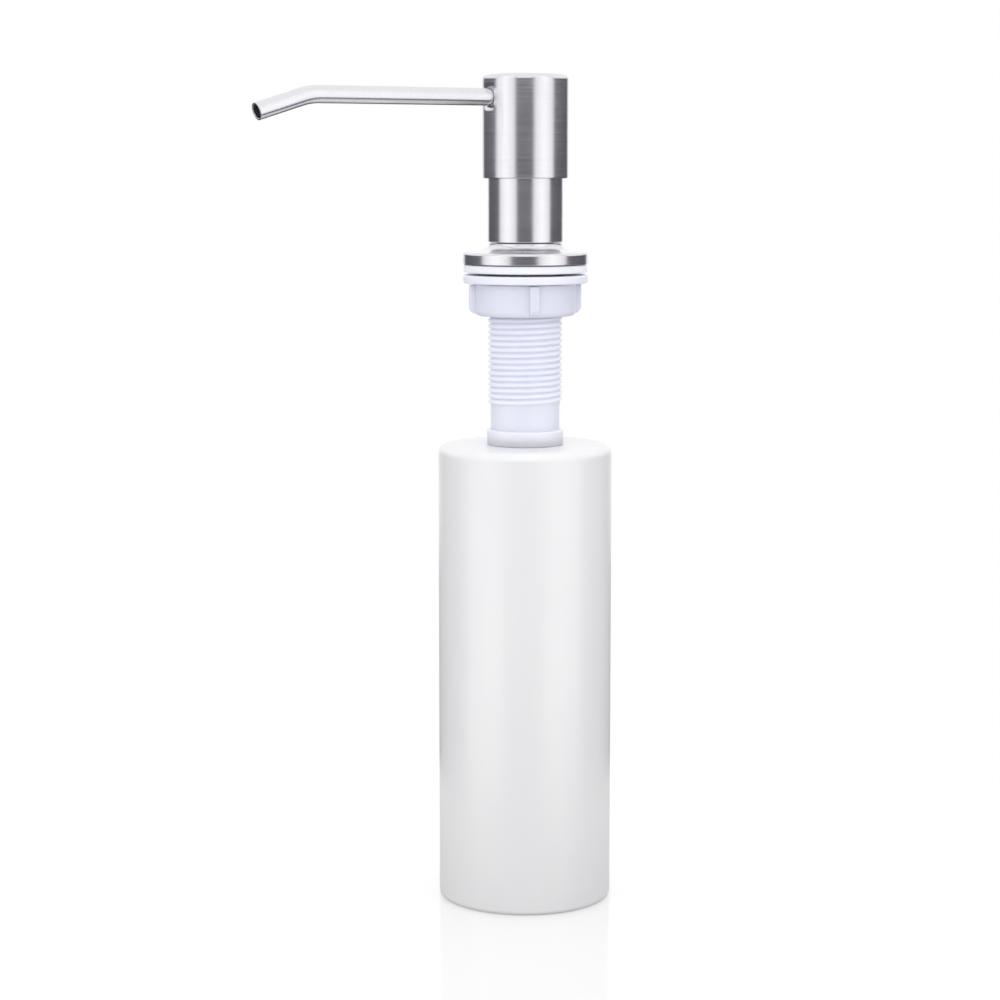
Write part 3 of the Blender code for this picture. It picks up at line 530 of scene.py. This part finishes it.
def turnOutline(bm, corners, closed=False, steps=turnSteps):
    # corners are (radius, height) or (radius, height, rounding); the outline is spun about Z
    before = set(bm.verts)
    verts = [bm.verts.new((c[0] * mm, 0, c[1] * mm)) for c in corners]
    for start, end in zip(verts, verts[1:] + verts[:1] if closed else verts[1:]):
        bm.edges.new((start, end))
    for vert, corner in zip(verts, corners):
        if len(corner) > 2:
            rounding = corner[2]
            segments = max(fewestSteps, min(mostSteps, ceil(rounding * stepsPerMm)))
            bmesh.ops.bevel(bm, geom=[vert], offset=rounding * mm, offset_type="OFFSET",
                            segments=segments, profile=0.5, affect="VERTICES", material=-1)
    holdFlat(bm, [e for e in bm.edges if e.verts[0] not in before])
    wire = [v for v in bm.verts if v not in before]
    edges = [e for e in bm.edges if e.verts[0] not in before]
    bmesh.ops.spin(bm, geom=wire + edges, cent=(0, 0, 0), axis=(0, 0, 1), angle=tau,
                   steps=steps, use_merge=True, use_duplicate=False)


threadSize = {
    "pitch": 2.0,
    "runOut": 1.2,  # height over which a thread fades into a plain ring
    "crestFall": 0.05,  # how much lower the crest's edges are than its middle
}


def outerThread(rim, crest):
    # the rows of one pitch as (share of the pitch, radius), for a thread outside a wall
    edge = crest - threadSize["crestFall"]
    return [(0.0, edge), (0.04, crest), (0.26, crest), (0.30, edge), (0.60, rim), (0.70, rim), (1.0, edge)]


def innerThread(rim, ridge):
    # and the same for a thread inside a bore
    return [(-0.10, rim), (0.40, rim), (0.62, ridge), (0.68, ridge), (0.90, rim)]


def cutThread(bm, rim, low, high, start, rows):
    # one pitch climbs along the helix and is repeated upwards, then both ends are flattened to plain
    # rings of the rim's radius, where the thread runs out
    pitch, runOut, steps = threadSize["pitch"], threadSize["runOut"], turnSteps
    before = set(bm.verts) | set(bm.edges) | set(bm.faces)
    below = start - pitch * (ceil((start - low) / pitch) + 2)
    verts = [bm.verts.new((radius * mm, 0, (below + share * pitch) * mm)) for share, radius in rows]
    edges = [bm.edges.new(pair) for pair in zip(verts, verts[1:])]
    bmesh.ops.spin(bm, geom=verts + edges, cent=(0, 0, 0), axis=(0, 0, 1), angle=tau,
                   dvec=(0, 0, pitch * mm / steps), steps=steps, use_merge=False, use_duplicate=False)
    turn = [g for kind in (bm.verts, bm.edges, bm.faces) for g in kind if g not in before]
    for i in range(1, ceil((high - below) / pitch) + 1):
        copied = bmesh.ops.duplicate(bm, geom=turn)["geom"]
        bmesh.ops.translate(bm, vec=(0, 0, pitch * i * mm),
                            verts=[g for g in copied if isinstance(g, bmesh.types.BMVert)])
    for vert in [v for v in bm.verts if v not in before]:
        height = vert.co.z / mm
        radius = hypot(vert.co.x, vert.co.y) / mm
        fade = min(max(min((height - low) / runOut, (high - height) / runOut), 0), 1)
        fade = fade * fade * (3 - 2 * fade)  # eased at both ends
        wanted = rim + (radius - rim) * fade
        vert.co.x *= wanted / radius
        vert.co.y *= wanted / radius
        vert.co.z = min(max(height, low), high) * mm


def finishPiece(bm, name, body, slot, material, *replaced, sharp=34):
    bmesh.ops.remove_doubles(bm, verts=bm.verts, dist=mergeGap * mm)
    bmesh.ops.recalc_face_normals(bm, faces=bm.faces)
    openEdges = sum(1 for edge in bm.edges if not edge.is_manifold)
    for face in bm.faces:
        face.smooth = True
    for edge in bm.edges:
        edge.smooth = edge.is_manifold and edge.calc_face_angle() < radians(sharp)
    mesh = bpy.data.meshes.new(name)
    bm.to_mesh(mesh)
    bm.free()
    mesh.materials.append(material)
    piece = bpy.data.objects.new(name, mesh)
    scene.collection.objects.link(piece)
    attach(piece, body)
    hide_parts(*replaced)
    print(f"{name}: {len(mesh.polygons)} faces, {openEdges} open edges")
    return piece


bottleSize = {
    "wall": 1.2,
    "baseRound": 1.6,
    "innerBaseRound": 1.2,
    "shoulderRound": 3.0,
    "neckWall": 1.7,
    "neckDepth": 9.0,
    "threadDepth": 0.8,
    "threadGap": 0.3,  # play between the bottle's thread and the shank's
}
sealSize = {"bore": 11.5, "boreRound": 0.1, "lowRound": 0.15, "highRound": 0.15}
shankSize = {
    "bore": 9.2,
    "plugBore": 9.8,
    "plugDepth": 6.0,
    "headThickness": 2.3,
    "headInset": 1.85,  # how far the head stays inside the flange cover
    "reliefLength": 3.9,  # plain shank between the deck thread and the head
    "deckThread": 44.7,
    "deckRoot": 11.9,
    "deckThreadDepth": 0.9,
    "plainLength": 8.6,
    "collarRadius": 13.2,
    "collarHeight": 3.3,
    "skirtRadius": 12.4,  # the collar's skirt hides the bottle's seal
    "skirtDepth": 1.85,  # almost down to the bottle
    "skirtRound": 0.25,
    "collarRound": 0.35,
    "stepRound": 0.3,
    "mouthRound": 0.4,
    "lowerRoot": 10.4,
    "threadDepth": 0.8,
}


def buildBottle():
    radius, low, high = span("bottle")
    size = bottleSize
    ridge = shankSize["lowerRoot"] + size["threadGap"]
    mouth = ridge + size["threadDepth"]
    neckLow = high - size["neckDepth"]
    wall = size["wall"]
    bm = bmesh.new()
    turnOutline(bm, [(mouth, high), (radius, high, size["shoulderRound"]),
                     (radius, low, size["baseRound"]), (0, low)])
    turnOutline(bm, [(0, low + wall), (radius - wall, low + wall, size["innerBaseRound"]),
                     (radius - wall, high - wall, size["shoulderRound"] - wall),
                     (mouth + size["neckWall"], high - wall), (mouth + size["neckWall"], neckLow),
                     (mouth, neckLow)])
    start = span("threaded_shank")[1]
    cutThread(bm, mouth, neckLow, high, start, innerThread(mouth, ridge))
    return finishPiece(bm, "soapBottle", "bottle", "bottle_plastic", bottleWhite, "bottle")


def turnFlatRing(nodeName, size):
    radius, low, high = span(nodeName)
    bm = bmesh.new()
    turnOutline(bm, [(size["bore"], low, size["boreRound"]), (radius, low, size["lowRound"]),
                     (radius, high, size["highRound"]), (size["bore"], high, size["boreRound"])],
                closed=True)
    return bm


def buildBottleSeal():
    bm = turnFlatRing("bottle_seal", sealSize)
    return finishPiece(bm, "bottleSeal", "seal", "gasket_white", gasketFoam, "bottle_seal")


def shankHeights():
    # the shank's steps, counted down from its head
    top = span("threaded_shank")[2]
    size = shankSize
    head = top - size["headThickness"]
    threadTop = head - size["reliefLength"]
    thread = threadTop - size["deckThread"]
    plain = thread - size["plainLength"]
    return {"head": head, "threadTop": threadTop, "thread": thread, "plain": plain,
            "collar": plain - size["collarHeight"]}


def buildShank():
    _, low, top = span("threaded_shank")
    size, at = shankSize, shankHeights()
    headRadius = span("flange_cover")[0] - size["headInset"]
    root, crest = size["deckRoot"], size["deckRoot"] + size["deckThreadDepth"]
    lowRoot, lowCrest = size["lowerRoot"], size["lowerRoot"] + size["threadDepth"]
    skirtLow = at["collar"] - size["skirtDepth"]
    bm = bmesh.new()
    turnOutline(bm, [(lowRoot, at["collar"]), (size["skirtRadius"], at["collar"]),
                     (size["skirtRadius"], skirtLow), (size["collarRadius"], skirtLow, size["skirtRound"]),
                     (size["collarRadius"], at["plain"], size["collarRound"]),
                     (root, at["plain"], size["stepRound"]), (root, at["thread"])])
    turnOutline(bm, [(root, at["threadTop"]), (root, at["head"]), (headRadius, at["head"]),
                     (headRadius, top), (size["plugBore"], top, size["mouthRound"]),
                     (size["plugBore"], top - size["plugDepth"]), (size["bore"], top - size["plugDepth"]),
                     (size["bore"], low), (lowRoot, low)])
    for rim, peak, bottom, height in ((root, crest, at["thread"], at["threadTop"]),
                                      (lowRoot, lowCrest, low, at["collar"])):
        cutThread(bm, rim, bottom, height, bottom, outerThread(rim, peak))
    return finishPiece(bm, "threadedShank", "base", "cool_white_plastic", shankWhite, "threaded_shank")


# nut, washer and gasket clamp the shank to a deck
nutSize = {
    "radius": 17.6,
    "corner": 2.0,
    "topRound": 0.3,
    "mouth": 13.1,
    "ridge": 12.2,
    "ribs": 4,
    "ribWidth": 3.3,
    "ribReach": 1.8,
    "ribSink": 2.2,
    "ribLift": 0.6,  # between the nut's underside and the rib
    "ribDrop": 0.3,  # and between the rib and the nut's top
    "ribRound": 2.6,
    "ribSideRound": 0.45,
    "ribAngle": 68.3,  # of the first rib, in degrees from +X
}
washerSize = {"bore": nutSize["mouth"], "boreRound": 0.3, "lowRound": 0.6, "highRound": 0.6}
gasketSize = {"bore": nutSize["mouth"], "boreRound": 0.3, "lowRound": 0.7, "highRound": 0.5}


def addRib(bm, angle, low, high):
    # a block rooted in the nut's wall, its lower outer edge well rounded and its sides softened
    size = nutSize
    root, tip = size["radius"] - size["ribSink"], size["radius"] + size["ribReach"]
    half = size["ribWidth"] / 2
    before = set(bm.verts)
    centre = Matrix.Translation(((tip + root) / 2 * mm, 0, (low + high) / 2 * mm))
    block = Matrix.Diagonal(((tip - root) * mm, 2 * half * mm, (high - low) * mm, 1))
    bmesh.ops.create_cube(bm, size=1.0, matrix=centre @ block)

    def edgesWhere(test):
        return [e for e in bm.edges if e.verts[0] not in before and all(test(v.co / mm) for v in e.verts)]

    bmesh.ops.bevel(bm, geom=edgesWhere(lambda c: c.x > tip - slack and c.z < low + slack),
                    offset=size["ribRound"] * mm, segments=8, profile=0.5, affect="EDGES", material=-1)
    sides = [e for e in edgesWhere(lambda c: abs(c.y) > half - slack)
             if abs(e.verts[0].co.y - e.verts[1].co.y) < slack * mm
             and max(v.co.x for v in e.verts) > (root + slack) * mm]
    bmesh.ops.bevel(bm, geom=sides, offset=size["ribSideRound"] * mm, segments=4, profile=0.5,
                    affect="EDGES", material=-1)
    bmesh.ops.rotate(bm, cent=(0, 0, 0), matrix=Matrix.Rotation(angle, 3, "Z"),
                     verts=[v for v in bm.verts if v not in before])


def buildNut():
    _, low, high = span("mounting_nut")
    size = nutSize
    bm = bmesh.new()
    turnOutline(bm, [(size["mouth"], low), (size["radius"], low, size["corner"]),
                     (size["radius"], high, size["topRound"]), (size["mouth"], high)])
    cutThread(bm, size["mouth"], low, high, shankHeights()["thread"],
              innerThread(size["mouth"], size["ridge"]))
    for i in range(size["ribs"]):
        angle = radians(size["ribAngle"]) + tau * i / size["ribs"]
        addRib(bm, angle, low + size["ribLift"], high - size["ribDrop"])
    return finishPiece(bm, "mountingNut", "nut", "cool_white_plastic", nutWhite, "mounting_nut")


def buildWasher():
    bm = turnFlatRing("clamp_washer", washerSize)
    return finishPiece(bm, "clampWasher", "washer", "cool_white_plastic", washerWhite, "clamp_washer")


def buildGasket():
    bm = turnFlatRing("deck_gasket", gasketSize)
    return finishPiece(bm, "deckGasket", "base", "gasket_white", gasketFoam, "deck_gasket")


# metal on top of the deck: the flange cover, the sleeve and the head
flangeSize = {
    "skirt": 1.55,
    "smallRound": 0.2,
    "edgeRound": 0.9,
    "top": 1.4,
    "neckRadius": 12.6,
    "neckHeight": 3.1,
    "flareReach": 6.5,
    "flareRise": 2.7,
    "flareSteps": 10,
    "lipRound": 0.3,
}


def buildFlange():
    radius, low, high = span("flange_cover")
    size = flangeSize
    plate = high - size["neckHeight"]
    bore, neck = shankSize["plugBore"], size["neckRadius"]
    turns = [tau / 4 * i / size["flareSteps"] for i in range(1, size["flareSteps"])]
    flare = [(neck + size["flareReach"] * (1 - sin(turn)), plate + size["flareRise"] * (1 - cos(turn)))
             for turn in turns]
    bm = bmesh.new()
    turnOutline(bm, [(radius - size["skirt"], low), (radius, low, size["smallRound"]),
                     (radius, plate, size["edgeRound"]), (neck + size["flareReach"], plate), *flare,
                     (neck, plate + size["flareRise"]), (neck, high, size["lipRound"]),
                     (bore, high, size["smallRound"]), (bore, plate - size["top"]),
                     (radius - size["skirt"], plate - size["top"])], closed=True, steps=metalSteps)
    return finishPiece(bm, "flangeCover", "base", "brushed_nickel", flangeNickel, "flange_cover")


sleeveSize = {"wall": 1.0, "lip": 1.0, "lipInner": 10.1, "rimRound": 0.3}


def buildSleeve():
    radius, low, high = span("collar_sleeve")
    size = sleeveSize
    bore = radius - size["wall"]
    bm = bmesh.new()
    turnOutline(bm, [(size["lipInner"], low), (radius, low, size["rimRound"]),
                     (radius, high, size["rimRound"]), (bore, high, size["rimRound"]),
                     (bore, low + size["lip"]), (size["lipInner"], low + size["lip"])],
                closed=True, steps=metalSteps)
    return finishPiece(bm, "collarSleeve", "pump_unit", "brushed_nickel", headNickel, "collar_sleeve")


headSize = {
    "wall": 1.2,
    "corner": 1.6,
    "crown": 0.8,
    "crownSteps": 6,
    "rimRound": 0.35,
    "boreRound": 0.2,
    "ceilingRound": 0.8,
    "spoutHole": 3.12,
    "holeSteps": 64,
    "holeBand": 5.0,  # wall above and below the hole's middle that has rings of its own
    "drill": 20.0,
}
spoutSize = {
    "start": 7.0,  # from the head's axis
    "straightEnd": 78.5,
    "bend": 24.0,  # radius of its middle line
    "drop": 17.0,  # degrees
    "tip": 16.5,  # straight length after the bend
    "tipShares": (0.3, 0.97, 1),  # where the tip has its rings
    "radius": 3.0,
    "wall": 0.65,
    "rimRound": 0.2,
    "segments": 48,
    "straightSteps": 6,
    "bendSteps": 14,
}


def spoutHeight():
    # the ring that seals the spout sits on its axis
    low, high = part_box("spout_o_ring")
    return (low.z + high.z) / 2 / mm


def buildHead():
    radius, low, high = span("head_shell")
    size = headSize
    bore, ceiling = radius - size["wall"], high - size["crown"] - size["wall"]
    flat, steps = radius - size["corner"], size["crownSteps"]
    crown = [(flat * i / steps, high - size["crown"] * (i / steps) ** 2) for i in range(steps)]
    bandLow, bandHigh = spoutHeight() - size["holeBand"], spoutHeight() + size["holeBand"]
    bm = bmesh.new()
    turnOutline(bm, [*crown, (radius, high - size["crown"], size["corner"]), (radius, bandHigh),
                     (radius, bandLow), (radius, low, size["rimRound"]), (bore, low, size["boreRound"]),
                     (bore, ceiling, size["ceilingRound"]), (0, ceiling)], steps=metalSteps)
    head = finishPiece(bm, "pressHead", "head", "brushed_nickel", headNickel, "head_shell")
    drill = bmesh.new()
    bmesh.ops.create_cone(drill, cap_ends=True, segments=size["holeSteps"], radius1=size["spoutHole"] * mm,
                          radius2=size["spoutHole"] * mm, depth=size["drill"] * mm)
    bmesh.ops.rotate(drill, cent=(0, 0, 0), matrix=Matrix.Rotation(radians(90), 3, "Y"), verts=drill.verts)
    bmesh.ops.translate(drill, vec=(-radius * mm, 0, spoutHeight() * mm), verts=drill.verts)
    cutterMesh = bpy.data.meshes.new("spoutDrill")
    drill.to_mesh(cutterMesh)
    drill.free()
    cutter = bpy.data.objects.new("spoutDrill", cutterMesh)
    scene.collection.objects.link(cutter)
    cut = head.modifiers.new("spoutHole", "BOOLEAN")
    cut.operation = "DIFFERENCE"
    cut.solver = "EXACT"
    cut.object = cutter
    drilled = bpy.data.meshes.new_from_object(head.evaluated_get(bpy.context.evaluated_depsgraph_get()))
    head.modifiers.clear()
    head.data = drilled
    bpy.data.objects.remove(cutter)
    return head


def buildSpout():
    size = spoutSize
    height = spoutHeight()
    drop = radians(size["drop"])
    middle = Matrix.Translation((-size["straightEnd"] * mm, 0, (height - size["bend"]) * mm))
    straight, steps = size["straightEnd"] - size["start"], size["straightSteps"]
    places = [Matrix.Translation((-(size["start"] + straight * i / steps) * mm, 0, height * mm))
              for i in range(steps + 1)]
    for i in range(1, size["bendSteps"] + 1):
        bent = Matrix.Rotation(-drop * i / size["bendSteps"], 4, "Y")
        places.append(middle @ bent @ Matrix.Translation((0, 0, size["bend"] * mm)))
    end = places[-1]
    places += [end @ Matrix.Translation((-size["tip"] * share * mm, 0, 0)) for share in size["tipShares"]]
    upright = Matrix.Rotation(radians(-90), 4, "Y")

    def section(place, radius):
        return place @ upright @ Matrix.Scale(radius * mm, 4)

    # outside from the head to the tip, then back along the bore
    rings = [section(place, size["radius"]) for place in places]
    rings += [section(place, size["radius"] - size["wall"]) for place in reversed(places)]
    rings.append(rings[0])
    bm = bmesh.new()
    ring = bmesh.ops.create_circle(bm, segments=size["segments"], radius=1.0, matrix=rings[0])["verts"]
    edges = list({e for v in ring for e in v.link_edges})
    for before, after in zip(rings, rings[1:]):
        made = bmesh.ops.extrude_edge_only(bm, edges=edges)["geom"]
        verts = {g for g in made if isinstance(g, bmesh.types.BMVert)}
        edges = [g for g in made if isinstance(g, bmesh.types.BMEdge) and all(v in verts for v in g.verts)]
        bmesh.ops.transform(bm, matrix=after @ before.inverted(), verts=list(verts))
    bmesh.ops.remove_doubles(bm, verts=bm.verts, dist=mergeGap * mm)
    toTip = places[-1].inverted()
    rim = []
    for edge in bm.edges:
        near, far = (toTip @ vert.co for vert in edge.verts)
        if max(abs(near.x), abs(far.x)) < slack * mm and abs(near.length - far.length) < slack * mm:
            rim.append(edge)
    bmesh.ops.bevel(bm, geom=rim, offset=size["rimRound"] * mm, segments=3, profile=0.5,
                    affect="EDGES", material=-1)
    return finishPiece(bm, "spoutTube", "head", "brushed_nickel", spoutNickel, "spout_tube")


# the pump, which lifts out of the shank
pumpSize = {
    "seatBore": 7.3,
    "plugRadius": 9.5,
    "groove": 8.2,
    "grooveLow": 1.8,  # above the plug's end
    "grooveHigh": 3.6,
    "bodyLow": 12.1,
    "ledge": 16.2,
    "bodyRadius": 11.7,
    "cup": 9.0,
    "chamberBore": 5.8,
    "chamberRadius": 7.0,
    "lipThickness": 1.8,
    "socketTop": 12.0,  # above the chamber's lower end, as the next two are
    "coneTop": 16.5,
    "floor": 21.882,  # where the spring stands
    "cageHole": 2.2,  # radius above the inlet ball
    "cageLip": 0.8,
    "cageCone": 1.1,
    "cageBore": 3.2,
    "ballSeat": 1.8,  # radius under it
    "ballSeatDepth": 1.5,
    "socketBore": 3.5,
    "socketRadius": 5.0,
    "stemBore": 2.0,
    "spigot": 2.9,
    "spigotLength": 3.1,
    "guideBore": 4.3,
    "recess": 6.3,
    "recessDepth": 2.0,
    "tubeWall": 0.7,
    "tubeSlope": 0.7,
    "tubeEnd": 1.0,  # stretch of the tube whose rings slant
    "ringSteps": 20,
    "tubeSteps": 48,
    "stemSteps": 64,
    "fineRound": 0.15,
    "edgeRound": 0.2,
    "stepRound": 0.3,
    "bodyRound": 0.4,
    "endRound": 0.5,
    "coneRound": 0.6,
    "socketRound": 0.8,
}


def buildPumpSeat():
    _, low, high = span("pump_seat")
    size = pumpSize
    plug, body, groove = size["plugRadius"], size["bodyRadius"], size["groove"]
    grooveLow, grooveHigh = low + size["grooveLow"], low + size["grooveHigh"]
    step, ledge = low + size["bodyLow"], low + size["ledge"]
    fine, edge, rim = size["fineRound"], size["edgeRound"], size["bodyRound"]
    bm = bmesh.new()
    turnOutline(bm, [(size["seatBore"], low, edge), (plug, low, size["endRound"]), (plug, grooveLow, fine),
                     (groove, grooveLow, fine), (groove, grooveHigh, fine), (plug, grooveHigh, fine),
                     (plug, step, edge), (body, step, rim), (body, high, rim), (size["cup"], high, edge),
                     (size["cup"], ledge, edge), (size["seatBore"], ledge, edge)], closed=True)
    return finishPiece(bm, "pumpSeat", "pump_unit", "pump_plastic", pumpWhite, "pump_seat")


def buildSeatRing():
    low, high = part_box("seat_o_ring")
    section = (high.z - low.z) / 2
    middle = Matrix.Translation((high.y - section, 0, (low.z + high.z) / 2))
    bm = bmesh.new()
    bmesh.ops.create_circle(bm, segments=pumpSize["ringSteps"], radius=section,
                            matrix=middle @ Matrix.Rotation(radians(90), 4, "X"))
    bmesh.ops.spin(bm, geom=bm.verts[:] + bm.edges[:], cent=(0, 0, 0), axis=(0, 0, 1), angle=tau,
                   steps=turnSteps, use_merge=True, use_duplicate=False)
    return finishPiece(bm, "seatRing", "pump_unit", "seal_black", sealBlack, "seat_o_ring")


def buildChamber():
    lipRadius, low, high = span("pump_chamber")
    size = pumpSize
    bore, radius = size["chamberBore"], size["chamberRadius"]
    socketTop, coneTop, floor = low + size["socketTop"], low + size["coneTop"], low + size["floor"]
    lip, edge = high - size["lipThickness"], size["edgeRound"]
    hole, cage, seat = size["cageHole"], size["cageBore"], size["ballSeat"]
    bm = bmesh.new()
    turnOutline(bm, [(size["socketBore"], low, size["fineRound"]),
                     (size["socketRadius"], low, size["endRound"]),
                     (size["socketRadius"], socketTop, size["socketRound"]),
                     (radius, coneTop, size["coneRound"]), (radius, lip, edge), (lipRadius, lip, edge),
                     (lipRadius, high, edge), (bore, high, edge), (bore, floor, edge), (hole, floor),
                     (hole, floor - size["cageLip"]), (cage, floor - size["cageCone"]), (cage, coneTop),
                     (seat, coneTop - size["ballSeatDepth"]), (seat, socketTop),
                     (size["socketBore"], socketTop)], closed=True)
    return finishPiece(bm, "pumpChamber", "pump_unit", "pump_plastic", pumpWhite, "pump_chamber")


def buildDipTube():
    radius, low, high = span("dip_tube")
    bore = radius - pumpSize["tubeWall"]
    bm = bmesh.new()
    turnOutline(bm, [(bore, low), (radius, low), (radius, high), (bore, high)],
                closed=True, steps=pumpSize["tubeSteps"])
    for vert in bm.verts:  # slanted end, so that the tube can't seal itself on the bottle's floor
        if vert.co.z < (low + pumpSize["tubeEnd"]) * mm:
            vert.co.z += (radius * mm - vert.co.x) * pumpSize["tubeSlope"]
    return finishPiece(bm, "dipTube", "pump_unit", "tube_plastic", tubeClear, "dip_tube")


def buildGuide():
    radius, low, high = span("stem_guide")
    size = pumpSize
    bm = bmesh.new()
    turnOutline(bm, [(size["guideBore"], low), (radius, low, size["stepRound"]),
                     (radius, high, size["stepRound"]), (size["recess"], high, size["edgeRound"]),
                     (size["recess"], high - size["recessDepth"]),
                     (size["guideBore"], high - size["recessDepth"])], closed=True)
    return finishPiece(bm, "stemGuide", "pump_unit", "pump_plastic", pumpWhite, "stem_guide")


def buildStem():
    radius, low, high = span("piston_stem")
    size = pumpSize
    step = low + size["spigotLength"]
    bm = bmesh.new()
    turnOutline(bm, [(size["stemBore"], low), (size["spigot"], low, size["stepRound"]),
                     (size["spigot"], step), (radius, step, size["stepRound"]),
                     (radius, high, size["endRound"]), (size["stemBore"], high, size["edgeRound"])],
                closed=True, steps=size["stemSteps"])
    return finishPiece(bm, "pistonStem", "piston_unit", "pump_plastic", pumpWhite, "piston_stem")


springSize = {
    "wire": 0.45,
    "coil": 4.6,
    "turns": 7,
    "endClimb": 1.1,  # pitch of the closed coil at each end
    "pressed": 14.0,  # height left when the head is down
    "floorGap": 0.3,
    "turnSteps": 40,
    "wireRounding": 4,
    "creaseAngle": 60,
}


def buildSpring():
    # closed coils at both ends and open ones between
    high = span("return_spring")[2]
    size = springSize
    foot = span("pump_chamber")[1] + pumpSize["floor"] + size["floorGap"]
    bottom, wire = foot + size["wire"], size["wire"]
    openTurns = size["turns"] - 2
    openHeight = high - wire - bottom - 2 * size["endClimb"]
    curve = bpy.data.curves.new("springWire", "CURVE")
    curve.dimensions = "3D"
    curve.bevel_depth = wire * mm
    curve.bevel_resolution = size["wireRounding"]
    curve.use_fill_caps = True
    spline = curve.splines.new("POLY")
    spline.points.add(size["turns"] * size["turnSteps"])
    for i, point in enumerate(spline.points):
        turn = i / size["turnSteps"]
        opened = min(max(turn - 1, 0), openTurns)
        height = bottom + (turn - opened) * size["endClimb"] + openHeight * opened / openTurns
        across, along = size["coil"] * cos(tau * turn), size["coil"] * sin(tau * turn)
        point.co = (across * mm, along * mm, height * mm, 1)
    holder = bpy.data.objects.new("springWire", curve)
    scene.collection.objects.link(holder)
    coiled = bpy.data.meshes.new_from_object(holder.evaluated_get(bpy.context.evaluated_depsgraph_get()))
    bm = bmesh.new()
    bm.from_mesh(coiled)
    bpy.data.objects.remove(holder)
    spring = finishPiece(bm, "returnSpring", "piston_unit", "bright_steel", valveSteel, "return_spring",
                         sharp=size["creaseAngle"])
    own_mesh(spring)


buildBottle()
buildBottleSeal()
buildShank()
buildNut()
buildWasher()
buildGasket()
buildFlange()
buildSleeve()
buildHead()
buildSpout()
buildPumpSeat()
buildSeatRing()
buildChamber()
buildDipTube()
buildGuide()
buildStem()
buildSpring()

# pieces of the frame that keep their shape and take a finish
for nodeName, finish in (("head_core", pumpWhite), ("piston", pumpWhite), ("piston_seal", sealBlack),
                         ("stem_seal", sealBlack), ("spout_o_ring", sealBlack),
                         ("chamber_gasket", gasketFoam), ("inlet_ball", valveSteel),
                         ("outlet_ball", valveSteel)):
    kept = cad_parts[nodeName]
    for slot in kept.material_slots:
        slot.material = finish
print("pieces ready")
